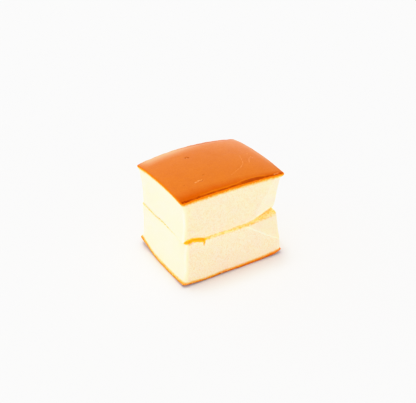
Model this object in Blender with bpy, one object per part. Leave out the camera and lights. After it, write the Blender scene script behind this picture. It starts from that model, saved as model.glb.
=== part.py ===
"""A hand-sized oblong of chiffon cake, built from two slabs of sponge laid back to back.

Each slab has a thin browned crust on its outer face, so the cake shows crust on its domed top and
under its base, and pale cut crumb on its four sides. The crusts kept their size while the crumb
shrank, which left the sides hollow, and one corner has been pinched in where the slabs meet. At the
front left corner the lower slab has torn and slumped, which opens a short gap under the upper slab.

Units are metres and +Z is up. X runs along the wide front side, whose wall faces -Y.
"""

import math
from typing import NamedTuple

import bmesh
import bpy
import numpy as np

# Driving dimensions.
WIDTH = 0.0850  # top crust along X
DEPTH = 0.0682  # top crust along Y
BASE_WIDTH = 0.0857  # bottom crust along X
BASE_DEPTH = 0.0686
CORNER_HEIGHT = 0.0681  # corners of the top crust above the table
SEAM_HEIGHT = 0.0363  # where the two slabs meet, at the middle of the cake
SLAB_GAP = 0.0003  # clearance between the two slabs

# The domed top: how far each edge's middle stands above the corners.
SIDE_RISE = 0.0025
FRONT_RISE = 0.0010
BACK_RISE = 0.0044
PUFF = 0.0014  # extra swell of the top inside its edges
PUFF_POWER = 6

# The base: flat where it rests, with its corners curled up off the table.
CURLS = {(-1, 1): 0.0066, (-1, -1): 0.0020, (1, -1): 0.0016, (1, 1): 0.0026}
# Share of the way out to a corner, as |u * v|, where the base leaves the table.
CURL_STARTS = {(-1, 1): 0.12, (-1, -1): 0.34, (1, -1): 0.34, (1, 1): 0.34}
CURL_FLARE = 0.05  # how far a curled corner also spreads outwards, for each metre of curl

# Edges.
CRUST_CORNER = 0.0020  # upright corners at a crust, seen from above
CRUMB_CORNER = 0.0030  # upright corners of the crumb
CRUST_RADIUS = 0.0007  # where a crust turns over into a wall
LEFT_SEAM_RADIUS = 0.0009  # where a wall turns in to the seam, at the left end
RIGHT_SEAM_RADIUS = 0.0036  # and at the right end
LIP = 0.0004  # how far a crust's edge stands proud of the crumb
LIP_HEIGHT = 0.0008
LIP_FADE = 0.0016


class Wall(NamedTuple):
    """How far a wall of crumb sinks in from the edge of its crust."""

    hollow: float  # at half its height
    lean: float  # how much more of that towards +X or +Y, as a share, and how much less at the other end
    waist: float  # at the seam
    twist: float  # how much more at the seam towards +X or +Y, and how much less at the other end


UPPER_WALLS = {
    (0, -1): Wall(0.0018, -0.30, 0.0014, 0.0012),
    (0, 1): Wall(0.0, 0.0, 0.0002, 0.0),
    (1, -1): Wall(0.0006, 0.0, 0.0003, 0.0),
    (1, 1): Wall(0.0008, 0.0, 0.0006, 0.0),
}
LOWER_WALLS = {
    (0, -1): Wall(0.0014, -0.45, 0.0009, -0.0002),
    (0, 1): Wall(0.0002, 0.0, 0.0006, 0.0),
    (1, -1): Wall(0.0007, 0.0, -0.0001, 0.0),
    (1, 1): Wall(0.0010, 0.0, 0.0004, -0.0004),
}
BASE_TRIM = 0.0012  # how far the lower slab's left wall stands in at its back end

# The seam is not level: it falls to the front and to the left, and waves a little.
SEAM_FALL_FRONT = 0.022
SEAM_FALL_LEFT = 0.002
SEAM_WAVE = 0.0004
SEAM_WAVE_LENGTH = 0.046
SEAM_BOW = 0.0017  # how far it swells up along the left side
BOW_FRONT = (-0.0290, -0.0190)  # where the swelling starts and is whole, in y, coming from the front
BOW_BACK = (0.0140, -0.0020)  # from the back
BOW_RIGHT = (-0.0220, -0.0400)  # and from the right, in x

# The pinched corner, right of the front. Its facet starts at a ridge on the front wall, RIDGE_X from
# the middle at the seam, which runs out to the corner as it leaves the seam.
PINCH_REACH = 0.046  # how far back from the front wall the pinch is felt
UPPER_RIDGE_X = 0.0163
UPPER_RIDGE_RUN = 0.664
UPPER_PINCH = 0.36
UPPER_PINCH_END = 0.0050  # distance below the crust over which the facet fades out
LOWER_RIDGE_X = 0.0085
LOWER_RIDGE_RUN = 1.43
LOWER_PINCH = 0.19
LOWER_DROP = 0.0014  # how far the lower slab's top falls away at this corner
DROP_FROM = (0.008, -0.012)  # where it starts to fall
DROP_TO = (0.040, -0.034)
RIDGE_SOFTNESS = 0.0016

# The torn corner, left of the front.
TEAR_X = -0.0272
TEAR_WIDTH = 0.0016
TEAR_HEIGHT = 0.0048
TEAR_DEPTH = 0.0024
SUNK_REACH = 0.0040  # how far back the gap goes
ARCH_RISE = 0.0033  # how far the upper slab's lower edge arches up over the gap
ARCH_LEFT = (-0.0436, -0.0386)  # from where to where the gap's roof rises
ARCH_RIGHT = (-0.0215, -0.0345)  # and where it comes down again
# The flap left of the tear: how far its top stands above the seam, as (x, height).
FLAP = (
    (-0.0418, 0.0), (-0.0402, -0.0010), (-0.0389, -0.0008), (-0.0374, 0.0012), (-0.0331, 0.0006),
    (-0.0290, -0.0010), (-0.0264, -0.0018))
SLUMP = 0.0018  # how far the flap has slid in under the upper slab
SLUMP_FROM = (-0.0220, -0.0300)  # where this starts and is whole, in y
SLUMP_HEIGHT = 0.0120  # how far down it is felt

# Grid lines of each slab, as distances from its faces.
EDGE_LINES = (0.0003, 0.0008, 0.0018, 0.0036)
CRUST_LINES = (0.0003, 0.0007, 0.0016, 0.0036)
SEAM_LINES = (0.0005, 0.0013, 0.0028)
TEAR_LINES = (TEAR_X - TEAR_WIDTH / 2, TEAR_X, TEAR_X + TEAR_WIDTH / 2)
WIDTH_STEPS = 22
DEPTH_STEPS = 16
HEIGHT_STEPS = 6

CRUMB_COLOUR = (0.93, 0.80, 0.52, 1.0)
CRUMB_ROUGHNESS = 0.85
CRUST_COLOUR = (0.80, 0.25, 0.05, 1.0)
CRUST_ROUGHNESS = 0.45
SMOOTH_ANGLE = math.radians(40)


def clear_scene():
    for obj in list(bpy.data.objects):
        bpy.data.objects.remove(obj)


def ramp(value, start, end):
    """0 up to start and 1 from end on, with a smooth rise between them."""
    share = min(1.0, max(0.0, (value - start) / (end - start)))
    return share * share * (3.0 - 2.0 * share)


def soft_excess(value, softness):
    """How far value is above zero, with the bend at zero rounded off."""
    return 0.5 * (value + math.hypot(value, softness))


def rounded(a, b, radius):
    """Distances from two faces that meet at an edge, after that edge is rounded."""
    if a >= radius or b >= radius:
        return a, b
    p, q = radius - a, radius - b
    share = max(p, q) / math.hypot(p, q)
    return radius - p * share, radius - q * share


def spread(start, end, near_start, near_end, steps):
    """Grid lines from start to end: the given distances in from each end, and even steps between."""
    inner_start = start + near_start[-1]
    inner_end = end - near_end[-1]
    lines = [start, end] + [start + d for d in near_start[:-1]] + [end - d for d in near_end[:-1]]
    lines += [inner_start + (inner_end - inner_start) * k / steps for k in range(steps + 1)]
    return sorted(lines)


def side(value):
    return 1 if value > 0 else -1


def seam(x, y):
    """Height of the surface that the two slabs share."""
    wave = math.sin(2 * math.pi * x / SEAM_WAVE_LENGTH) * math.cos(math.pi * y / DEPTH)
    bow = ramp(y, *BOW_FRONT) * ramp(y, *BOW_BACK) * ramp(x, *BOW_RIGHT)
    fall = SEAM_FALL_FRONT * y + SEAM_FALL_LEFT * x
    return SEAM_HEIGHT + fall + SEAM_WAVE * wave + SEAM_BOW * bow


def dome(x, y):
    """Height of the top crust: a patch through its four arched edges, swollen in the middle."""
    u = min(1.0, abs(x) / (WIDTH / 2))
    v = max(-1.0, min(1.0, y / (DEPTH / 2)))
    front, back = (1 - v) / 2 * FRONT_RISE, (1 + v) / 2 * BACK_RISE
    rise = SIDE_RISE * (1 - v * v) + (front + back) * (1 - u * u)
    return CORNER_HEIGHT + rise + PUFF * (1 - u**PUFF_POWER) * (1 - v**PUFF_POWER)


def curl(x, y):
    """Height of the underside: flat on the table, and curled up towards each corner."""
    u, v = x / (BASE_WIDTH / 2), y / (BASE_DEPTH / 2)
    corner = (side(u), side(v))
    start = CURL_STARTS[corner]
    out = max(0.0, abs(u * v) - start) / (1 - start)
    return CURLS[corner] * out * out


def over_gap(x, y):
    """How far the upper slab's underside is lifted over the gap at the torn corner."""
    across = ramp(x, *ARCH_LEFT) * ramp(x, *ARCH_RIGHT)
    return ARCH_RISE * across * ramp(y, -DEPTH / 2 + SUNK_REACH, -DEPTH / 2)


def fallen(x, y):
    """How far the lower slab's top falls away at the pinched corner."""
    return LOWER_DROP * ramp(x, DROP_FROM[0], DROP_TO[0]) * ramp(y, DROP_FROM[1], DROP_TO[1])


def under_gap(x, y):
    """How far the flap left of the tear stands above the seam. x is the place in the plain box."""
    beside = ramp(x, TEAR_X + TEAR_WIDTH / 2, TEAR_X)
    height = float(np.interp(x, *zip(*FLAP)))
    return height * beside * ramp(y, -DEPTH / 2 + SUNK_REACH, -DEPTH / 2 + SUNK_REACH / 3)


def wall_inset(wall, along, from_seam, from_crust):
    """How far a wall stands in from the edge of its crust. along runs from -1 to 1."""
    share = from_crust / (from_seam + from_crust)
    lip = LIP * ramp(from_crust, LIP_HEIGHT, LIP_HEIGHT + LIP_FADE)
    hollow = wall.hollow * (1 + wall.lean * along) * math.sin(math.pi * share)
    return lip + hollow + (wall.waist + wall.twist * along) * share * share


def pinched(x, y, distance, ridge_x, run, slope):
    """y after the corner right of the front is pinched in, at this distance from the seam."""
    push = slope * soft_excess(x - ridge_x - run * distance, RIDGE_SOFTNESS)
    fade = max(0.0, 1 - (y + DEPTH / 2) / PINCH_REACH)
    return y + push * fade


def torn(x, y, below_seam):
    """y after the tear is cut into the lower slab's front wall. x is the place in the plain box."""
    across = max(0.0, 1 - abs(x - TEAR_X) / (TEAR_WIDTH / 2))
    down = max(0.0, 1 - below_seam / TEAR_HEIGHT)
    front = ramp(y, -DEPTH / 2 + SUNK_REACH, -DEPTH / 2 + SUNK_REACH / 3)
    return y + TEAR_DEPTH * across * math.sqrt(down) * front


def seam_radius(x):
    """The walls turn in to the seam more and more softly from left to right."""
    share = x / WIDTH + 0.5
    return LEFT_SEAM_RADIUS + (RIGHT_SEAM_RADIUS - LEFT_SEAM_RADIUS) * share


def in_plan(x, y, width, depth, walls, from_seam, from_crust):
    """Plan position on a slab with round edges and sunken walls, and how far in from its edge."""
    ring = min(width / 2 - abs(x), depth / 2 - abs(y))
    new_ring = rounded(ring, from_crust, CRUST_RADIUS)[0]
    new_ring = rounded(new_ring, from_seam, seam_radius(x))[0]
    if ring < min(width, depth) / 2:
        x *= (width / 2 - new_ring) / (width / 2 - ring)
        y *= (depth / 2 - new_ring) / (depth / 2 - ring)
    corner = CRUST_CORNER + (CRUMB_CORNER - CRUST_CORNER) * ramp(from_crust, 0.0, CRUMB_CORNER)
    a, b = rounded(width / 2 - abs(x), depth / 2 - abs(y), corner)
    x, y = math.copysign(width / 2 - a, x), math.copysign(depth / 2 - b, y)
    u, v = x / (width / 2), y / (depth / 2)
    x_inset = wall_inset(walls[0, side(x)], v, from_seam, from_crust)
    y_inset = wall_inset(walls[1, side(y)], u, from_seam, from_crust)
    return x - u * x_inset, y - v * y_inset, ring


def upper_place(x, y, above_seam, thickness):
    """Where a point of the upper slab's plain box goes. above_seam is its height in the box."""
    below_crust = thickness - above_seam
    px, py, ring = in_plan(x, y, WIDTH, DEPTH, UPPER_WALLS, above_seam, below_crust)
    held = 1 - ramp(above_seam, thickness - UPPER_PINCH_END, thickness - LIP_HEIGHT)
    py = pinched(px, py, above_seam, UPPER_RIDGE_X, UPPER_RIDGE_RUN, UPPER_PINCH * held)
    above_seam = rounded(ring, above_seam, seam_radius(x))[1]
    below_crust = rounded(ring, thickness - above_seam, CRUST_RADIUS)[1]
    low = seam(px, py) + SLAB_GAP / 2 + over_gap(px, py)
    return px, py, low + (dome(px, py) - low) * (1 - below_crust / thickness)


def lower_place(x, y, above_crust, thickness):
    """Where a point of the lower slab's plain box goes. Its crust is underneath."""
    below_seam = thickness - above_crust
    px, py, ring = in_plan(x, y, BASE_WIDTH, BASE_DEPTH, LOWER_WALLS, below_seam, above_crust)
    slump = SLUMP * ramp(py, *SLUMP_FROM) * ramp(below_seam, SLUMP_HEIGHT, 0.0)
    trim = BASE_TRIM * ramp(py, 0.0, BASE_DEPTH / 2)
    px += (trim + slump) * max(0.0, -px / (BASE_WIDTH / 2))
    py = pinched(px, py, below_seam, LOWER_RIDGE_X, LOWER_RIDGE_RUN, LOWER_PINCH)
    py = torn(x, py, below_seam)
    below_seam = rounded(ring, below_seam, seam_radius(x))[1]
    above_crust = rounded(ring, thickness - below_seam, CRUST_RADIUS)[1]
    low = curl(px, py)
    flare = CURL_FLARE * low * below_seam / thickness
    high = seam(px, py) - SLAB_GAP / 2 + under_gap(x, py) - fallen(px, py)
    return px + side(px) * flare, py + side(py) * flare, low + (high - low) * above_crust / thickness


def grid_box(x_lines, y_lines, z_lines):
    """A closed box whose faces are cut along every grid line."""
    lines = (x_lines, y_lines, z_lines)
    mesh = bmesh.new()
    bmesh.ops.create_cube(mesh, size=1.0)
    for vertex in mesh.verts:
        for axis in range(3):
            vertex.co[axis] = lines[axis][-1 if vertex.co[axis] > 0 else 0]
    for axis in range(3):
        normal = [0.0, 0.0, 0.0]
        normal[axis] = 1.0
        for place in lines[axis][1:-1]:
            point = [0.0, 0.0, 0.0]
            point[axis] = place
            everything = mesh.verts[:] + mesh.edges[:] + mesh.faces[:]
            bmesh.ops.bisect_plane(mesh, geom=everything, dist=1e-7, plane_co=point, plane_no=normal)
    return mesh


def make_slab(name, width, depth, thickness, crust_height, extra_x, place):
    """One slab of sponge: a gridded box with every point moved by place."""
    x_lines = spread(-width / 2, width / 2, EDGE_LINES, EDGE_LINES, WIDTH_STEPS)
    y_lines = spread(-depth / 2, depth / 2, EDGE_LINES, EDGE_LINES, DEPTH_STEPS)
    crust_first = crust_height == 0.0
    near_bottom = CRUST_LINES if crust_first else SEAM_LINES
    near_top = SEAM_LINES if crust_first else CRUST_LINES
    z_lines = spread(0.0, thickness, near_bottom, near_top, HEIGHT_STEPS)
    slab = grid_box(sorted([*x_lines, *extra_x]), y_lines, z_lines)
    for face in slab.faces:
        on_crust = all(abs(vertex.co.z - crust_height) < CRUST_LINES[0] for vertex in face.verts)
        face.material_index = 1 if on_crust else 0
    for vertex in slab.verts:
        vertex.co = place(*vertex.co, thickness)
    data = bpy.data.meshes.new(name)
    slab.to_mesh(data)
    slab.free()
    data.materials.append(plain_material(name + "_crumb", CRUMB_COLOUR, CRUMB_ROUGHNESS))
    data.materials.append(plain_material(name + "_crust", CRUST_COLOUR, CRUST_ROUGHNESS))
    data.shade_smooth()
    data.set_sharp_from_angle(angle=SMOOTH_ANGLE)
    obj = bpy.data.objects.new(name, data)
    bpy.context.scene.collection.objects.link(obj)
    return obj


def plain_material(name, colour, roughness):
    material = bpy.data.materials.new(name)
    material.use_nodes = True
    shader = material.node_tree.nodes["Principled BSDF"]
    shader.inputs["Base Color"].default_value = colour
    shader.inputs["Roughness"].default_value = roughness
    shader.inputs["Metallic"].default_value = 0.0
    return material


def centre_on_base(objects):
    """Moves the objects together, so that the origin is under the middle of their box."""
    points = [vertex.co for obj in objects for vertex in obj.data.vertices]
    middle = [(min(p[k] for p in points) + max(p[k] for p in points)) / 2 for k in range(2)]
    for obj in objects:
        for vertex in obj.data.vertices:
            vertex.co.x -= middle[0]
            vertex.co.y -= middle[1]


def main():
    clear_scene()
    upper_thickness = CORNER_HEIGHT - SEAM_HEIGHT
    upper = make_slab(
        "upper_sponge", WIDTH, DEPTH, upper_thickness,
        crust_height=upper_thickness, extra_x=(), place=upper_place,
    )
    lower = make_slab(
        "lower_sponge", BASE_WIDTH, BASE_DEPTH, SEAM_HEIGHT,
        crust_height=0.0, extra_x=TEAR_LINES, place=lower_place,
    )
    centre_on_base([upper, lower])


main()
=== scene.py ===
"""The looks of an oblong of chiffon cake: browned crusts, cut crumb, and the crumbs it sheds.

Two slabs of sponge lie back to back. Each is modelled as one closed mesh on a fine lattice, which
repeats the form of its solid. Geometry Nodes then press pores, grain and rough edges into it, and
scatter the loose crumbs. Lengths are metres, and the attributes that end in _mm are millimetres.
"""

import math
from typing import Callable, NamedTuple

import bpy
import numpy as np
from bpy.props import FloatProperty, FloatVectorProperty, IntProperty, PointerProperty
from mathutils import Matrix, Vector
from mathutils.geometry import delaunay_2d_cdt


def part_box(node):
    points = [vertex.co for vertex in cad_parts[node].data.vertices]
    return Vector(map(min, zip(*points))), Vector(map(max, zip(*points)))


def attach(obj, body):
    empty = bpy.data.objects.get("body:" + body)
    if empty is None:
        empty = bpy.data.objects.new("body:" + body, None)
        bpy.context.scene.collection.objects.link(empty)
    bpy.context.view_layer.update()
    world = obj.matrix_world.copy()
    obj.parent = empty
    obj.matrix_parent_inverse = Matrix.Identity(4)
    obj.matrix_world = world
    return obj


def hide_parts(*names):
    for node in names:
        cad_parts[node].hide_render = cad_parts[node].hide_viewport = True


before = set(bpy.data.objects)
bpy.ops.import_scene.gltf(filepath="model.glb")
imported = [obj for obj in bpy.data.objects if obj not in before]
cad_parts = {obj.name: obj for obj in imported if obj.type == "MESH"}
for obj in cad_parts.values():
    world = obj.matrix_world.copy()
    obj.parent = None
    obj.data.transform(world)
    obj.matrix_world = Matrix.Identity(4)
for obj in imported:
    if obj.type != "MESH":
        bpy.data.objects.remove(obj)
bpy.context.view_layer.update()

bl_info = {
    "name": "Chiffon Cake",
    "version": (1, 0, 0),
    "blender": (4, 5, 0),
    "location": "View3D > Sidebar > Cake",
    "description": "Builds an oblong of chiffon cake round its packed solids",
    "category": "Add Mesh",
}

# The form of the two slabs, as in their solids.
WIDTH = 0.0850
DEPTH = 0.0682
BASE_WIDTH = 0.0857
BASE_DEPTH = 0.0686
CORNER_HEIGHT = 0.0681
SEAM_HEIGHT = 0.0363
SLAB_GAP = 0.00005  # the solids stay further apart than the real slabs do
SIDE_RISE = 0.0025
FRONT_RISE = 0.0010
BACK_RISE = 0.0044
PUFF = 0.0014
PUFF_POWER = 6
CURLS = {(-1, 1): 0.0066, (-1, -1): 0.0020, (1, -1): 0.0016, (1, 1): 0.0026}
CURL_STARTS = {(-1, 1): 0.12, (-1, -1): 0.34, (1, -1): 0.34, (1, 1): 0.34}
CURL_FLARE = 0.05
CRUST_CORNER = 0.0020
CRUMB_CORNER = 0.0030
CRUST_RADIUS = 0.0007
LEFT_SEAM_RADIUS = 0.0009
RIGHT_SEAM_RADIUS = 0.0036
LIP = 0.0004
LIP_HEIGHT = 0.0008
LIP_FADE = 0.0016


class Wall(NamedTuple):
    """How far a wall of crumb sinks in from the edge of its crust."""

    hollow: float  # at half its height
    lean: float  # how much more of that towards +X or +Y, as a share, and how much less at the other end
    waist: float  # at the seam
    twist: float  # how much more at the seam towards +X or +Y, and how much less at the other end


UPPER_WALLS = {
    (0, -1): Wall(0.0018, -0.30, 0.0014, 0.0012),
    (0, 1): Wall(0.0, 0.0, 0.0002, 0.0),
    (1, -1): Wall(0.0006, 0.0, 0.0003, 0.0),
    (1, 1): Wall(0.0008, 0.0, 0.0006, 0.0),
}
LOWER_WALLS = {
    (0, -1): Wall(0.0014, -0.45, 0.0009, -0.0002),
    (0, 1): Wall(0.0002, 0.0, 0.0006, 0.0),
    (1, -1): Wall(0.0007, 0.0, -0.0001, 0.0),
    (1, 1): Wall(0.0010, 0.0, 0.0004, -0.0004),
}
BASE_TRIM = 0.0012  # how far the lower slab's left wall stands in at its back end
SLUMP = 0.0018  # how far the flap at the torn corner has slid in under the upper slab
SLUMP_FROM = (-0.0220, -0.0300)
SLUMP_HEIGHT = 0.0120
SEAM_FALL_FRONT = 0.022
SEAM_FALL_LEFT = 0.002
SEAM_WAVE = 0.0004
SEAM_WAVE_LENGTH = 0.046
SEAM_BOW = 0.0017  # how far the seam swells up along the left side
BOW_FRONT = (-0.0290, -0.0190)
BOW_BACK = (0.0140, -0.0020)
BOW_RIGHT = (-0.0220, -0.0400)
PINCH_REACH = 0.046
UPPER_RIDGE_X = 0.0163
UPPER_RIDGE_RUN = 0.664
UPPER_PINCH = 0.36
UPPER_PINCH_END = 0.0050
LOWER_RIDGE_X = 0.0085
LOWER_RIDGE_RUN = 1.43
LOWER_PINCH = 0.19
LOWER_DROP = 0.0014
DROP_FROM = (0.008, -0.012)
DROP_TO = (0.040, -0.034)
RIDGE_SOFTNESS = 0.0016
RIDGES = {True: (UPPER_RIDGE_X, UPPER_RIDGE_RUN), False: (LOWER_RIDGE_X, LOWER_RIDGE_RUN)}
TEAR_X = -0.0272
TEAR_WIDTH = 0.0016
TEAR_HEIGHT = 0.0048
TEAR_DEPTH = 0.0024
# The flap left of the tear: how far its top stands above the seam, as (x, height).
FLAP = (
    (-0.0418, 0.0), (-0.0402, -0.0010), (-0.0389, -0.0008), (-0.0374, 0.0012), (-0.0331, 0.0006),
    (-0.0290, -0.0010), (-0.0264, -0.0018))
SUNK_REACH = 0.0040  # how far in from the front the gap and the tear reach
SUNK_IN = (-DEPTH / 2 + SUNK_REACH, -DEPTH / 2 + SUNK_REACH / 3)  # y, from where to where they deepen
ARCH_RISE = 0.0033
ARCH_LEFT = (-0.0436, -0.0386)  # from where to where the gap's roof rises
ARCH_RIGHT = (-0.0215, -0.0345)  # and where it comes down again

# Finer form, too small for the solids.
BACK_DIP = 0.00035  # shallow trough just inside the back edge of the top crust
BACK_DIP_IN = 0.0034
BACK_DIP_WIDTH = 0.0022
BACK_DIP_X = (-0.020, 0.0)  # the trough sets in here
BASE_WAVE = 0.0006  # how far the base crust's front edge lifts off the table left of its middle
BASE_WAVE_WIDTH = 0.0090
BASE_WAVE_X = -0.0090
BASE_WAVE_REACH = 0.0100
BASE_WAVE_UP = 0.012
BASE_EAR = 0.0007  # how far the base crust sticks out past the crumb at its back left corner
BASE_EAR_REACH = 0.0130
BASE_EAR_UP = 0.0014
BASE_TIP = 0.0013  # how far the base crust is rounded up at its front right corner
BASE_TIP_X = (0.0350, 0.0425)
BASE_TIP_Y = (-0.0260, -0.0340)
BASE_TIP_UP = 0.0040
BACK_WOBBLE = 0.00007  # unevenness of the top crust's back edge
BACK_WOBBLE_LENGTHS = (0.0131, 0.0074)
BACK_WOBBLE_IN = 0.0050
BACK_WOBBLE_DOWN = 0.0080
WEDGE_OPENS = (0.004, 0.024)  # from where to where the upper slab's lower edge softens, in x
FLAP_FRONT = 0.0060  # the creases lie within this far of the front

# The lattice.
RIM_LINES = (0.00022, 0.00045, 0.0007, 0.00105)  # near each edge
TEAR_OFFSETS = (-0.0008, -0.0004, -0.00015, 0.0, 0.00015, 0.0004, 0.0008)
HIDDEN_MARGIN = 0.0030  # how far in the hidden faces are as fine as the walls
FRONT_MARGIN = 0.0130  # and at the front of the seam, where a gap lets the eye in
HIDDEN_CELL = 0.0034
ONE_POINT = 1e-5  # millimetres within which two points count as one

# How bright light of a given strength is shown.
TONE_CURVE = (
    (0.0, 0.0), (0.2, 0.2), (0.4, 0.4), (0.6, 0.6), (0.8, 0.8), (0.92, 0.908), (1.0, 0.95),
    (1.08, 0.973), (1.2, 0.992), (1.3, 1.0))

COAT_IOR = 1.3  # low, so that the crust shines only where it is seen at a flat angle
SCATTER_TINT = (1.0, 0.6, 0.25)  # red light wanders furthest inside the crumb

# Where loose crumbs lie, in millimetres of rim_mm and seam_mm.
SHED_UNDER_RIM = (-2.6, -1.2, -0.5, 0.0)
SHED_ALONG_SEAM = (-1.0, -0.2, 0.4, 1.3)
SHED_INNERMOST = -1.5
SHED_DEEPEST = 0.3  # none lie where the torn gap is this deep
# How thickly they lie, as shares of the thickest.
SHED_AT_LEAST = 0.25  # under a rim that has no dark line
SHED_BY_SEAM = 0.5
SHED_ON_OPEN = 1.1  # on open crumb along the seam, less one where it is smooth
CRUMB_SHAPES = ((0.7, 0.7, 0.6), (1.3, 1.3, 1.2))  # the least and the most that one is stretched
CRUMB_JOLT = 0.45  # how far a crumb's corners are moved, as a share of the largest crumb
CRUMB_JOLT_SIZE = 0.0004

FLOOR_DROP = 0.0001
FLOOR_SIDES = 96
SENSOR_WIDTH = 36.0  # millimetres

MM = 1000.0
TINY = 1e-9
FAR_OFF = 9.0


class Mark(NamedTuple):
    """A scratch, dent, crease or speck, along a path."""

    path: tuple
    width: float
    depth: float
    tone: float  # -1 is bruised brown and 1 is scuffed pale


# Nicks, spots and scratches on the top crust, as (x, y).
MARKS = (
    Mark(((-0.0126, 0.0137), (-0.0111, 0.0146), (-0.0103, 0.0126)), 0.0011, 0.0005, -1.2),
    Mark(((-0.0231, -0.0183), (-0.0200, -0.0178), (-0.0172, -0.0176)), 0.0013, 0.0002, 0.8),
    # Just in front of that scuff, a dark line that is painted shade under the raised flake of the gouge.
    Mark(((-0.0200, -0.0190), (-0.0180, -0.0188), (-0.0165, -0.0180)), 0.0009, 0.0004, -0.6),
    Mark(((-0.0138, -0.0133), (-0.0128, -0.0130)), 0.0012, 0.0002, -0.35),
    Mark(((-0.0312, -0.0173), (-0.0308, -0.0172)), 0.0010, 0.0002, -0.4),
    Mark(((0.0047, -0.0216), (0.0099, -0.0192), (0.0160, -0.0164)), 0.0008, 0.0001, 0.35),
    Mark(((0.0160, -0.0164), (0.0205, -0.0122), (0.0230, -0.0061)), 0.0007, 0.0001, 0.5),
    Mark(((0.0230, -0.0061), (0.0251, -0.0003)), 0.0007, 0.0001, 0.3),
    Mark(((0.0255, -0.0129), (0.0282, -0.0085), (0.0316, -0.0056), (0.0321, -0.0076)),
         0.0008, 0.0001, 0.5),
    Mark(((0.0314, -0.0012), (0.0318, -0.0008)), 0.0009, 0.0001, 0.5),
    Mark(((0.0342, -0.0319), (0.0379, -0.0314)), 0.0012, 0.0002, 0.6),
    # Dark spots on the line inside the front rim near its left corner: partly darker browning, partly
    # painted shade where the crust curls down.
    Mark(((-0.0405, -0.0322), (-0.0370, -0.0325)), 0.0024, 0.0002, -1.5),
    Mark(((-0.0346, -0.0316), (-0.0343, -0.0314)), 0.0012, 0.0002, -0.9),
    Mark(((-0.0282, -0.0314), (-0.0276, -0.0312)), 0.0013, 0.0002, -0.9),
)

# Creases where the flap at the torn corner has buckled: paths on the front wall, as (x, z). They are
# dented and painted gold, which is painted shade in the creases.
CREASES = (
    Mark(((-0.0421, 0.0345), (-0.0396, 0.0344), (-0.0364, 0.0348)), 0.0009, 0.0004, -1.0),
    Mark(((-0.0416, 0.0338), (-0.0404, 0.0336)), 0.0008, 0.0003, -0.7),
)

# Toasted specks beside the seam: paths on the left wall, as (y, z).
SPECKS = (
    Mark(((-0.0206, 0.0380), (-0.0209, 0.0377)), 0.0011, 0.0001, -0.8),
    Mark(((-0.0280, 0.0366), (-0.0283, 0.0361)), 0.0012, 0.0001, -0.8),
)

# A faint crease where the upper slab bulges over that flap, on the front wall, as (x, z), painted gold as
# painted shade.
UPPER_CREASES = (
    Mark(((-0.0375, 0.0462), (-0.0340, 0.0450), (-0.0300, 0.0430)), 0.0012, 0.0003, -0.25),
)


class Browning(NamedTuple):
    """Where crust gives way to crumb at the left, right, front and back, in millimetres."""

    skin: tuple  # how far down the wall the brown skin reaches, or how far in from the edge it starts
    cut: tuple  # how far down the orange cut edge reaches
    fringe: tuple  # how wide the gold below it is, as a share of the widest
    band: tuple  # how far in from the edge the skin is darker and redder: partly deeper browning, partly painted shade where it rolls over


UPPER_BROWNING = Browning(
    (-0.7, -0.5, -0.9, -0.4), (0.3, 0.4, 0.1, 0.3), (1.1, 0.9, 1.1, 0.9), (1.0, 0.6, 0.6, 1.0))
LOWER_BROWNING = Browning(
    (0.4, 0.7, 0.9, 0.5), (1.2, 1.5, 1.4, 1.2), (1.1, 0.8, 0.7, 0.8), (3.0, 3.0, 3.0, 3.0))

# How each wall differs, in the same order. Smoothness is 1 on a clean cut and 0 on open pores.
SMOOTHNESS = {True: (1.0, 0.3, 0.3, 0.2), False: (1.0, 0.3, 0.0, 0.2)}
# Painted light: how much each wall takes the left wall's own crumb colour, tuned for the stronger light
# that falls there.
PAINTED_LIGHT = (1.0, 0.3, 0.0, 0.4)
# How strong the dark line inside each rim is: partly darker browning, partly painted shade where the
# crust curls down.
RIM_DARKNESS = (0.0, 0.2, 1.0, 0.3)
# How golden each wall is along the seam: partly the yellower skin where the slabs meet, partly painted
# shade in the crevice.
SEAM_GOLD = (0.6, 0.7, 1.0, 0.7)
SEAM_REACH = (0.0004, 0.0008, 0.0013, 0.0008)
# How strongly each wall's seam takes the painted glow.
SEAM_GLOW = (0.15, 0.7, 1.0, 0.7)
WALL_BLEND = 0.8  # millimetres over which one wall's value gives way to the next one's
WALL_BLEND_POWER = 3
MARK_EDGE = (1.2, 0.3)  # half widths off its path where a mark's dent starts and is whole

# Where the crust's finish changes. A pair holds where a change starts and ends, and four places
# hold where something sets in, is whole, begins to fade and is gone.
BAND_SPREAD = 1.5  # how far in the dark band fades away, as a share of its width
FRONT_BAND = 0.0115  # how far in from the front edge of the top the skin is darker, partly as painted shade where it slopes down
BAND_TAPER = 0.9  # that band is wider at the left than at the right by this share
BASE_TAPER = 0.9  # and the base crust thicker at the right than at the left
DARK_RIM_X = (0.001, 0.011, 0.018, 0.030)  # where the line inside the front rim is thick: partly darker browning, partly painted shade where the crust curls down
THREAD = 0.65  # how strongly a paler thread runs beside it
THREAD_X = (-0.032, -0.020, 0.024, 0.032)
THREAD_IN = 0.008
SHEEN_PAINT_BACK_X = (-0.0430, -0.0340, -0.0200, 0.0150)  # painted sheen: a pale patch at the back left, where the crust's shine is painted into its colour
SHEEN_PAINT_BACK_Y = (0.0190, 0.0335)
SHEEN_PAINT_RIGHT = 0.35  # and a fainter patch of painted sheen along the right edge
SHEEN_PAINT_RIGHT_X = (0.0370, 0.0420)
SHEEN_PAINT_RIGHT_Y = (-0.0280, -0.0100)

# And the crumb's.
CORNER_ACROSS = (0.0040, 0.0008)  # how far from the left edge the crumb is pressed smooth and takes the left wall's painted light
CORNER_HIGHLIGHT_HALF = (0.0024, 0.0003)  # half the width of the painted highlight down the front left corner, partly crumb pressed at that edge
CORNER_OFFSET = {True: 0.0014, False: 0.0006}  # that highlight lies a little round to the left
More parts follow.
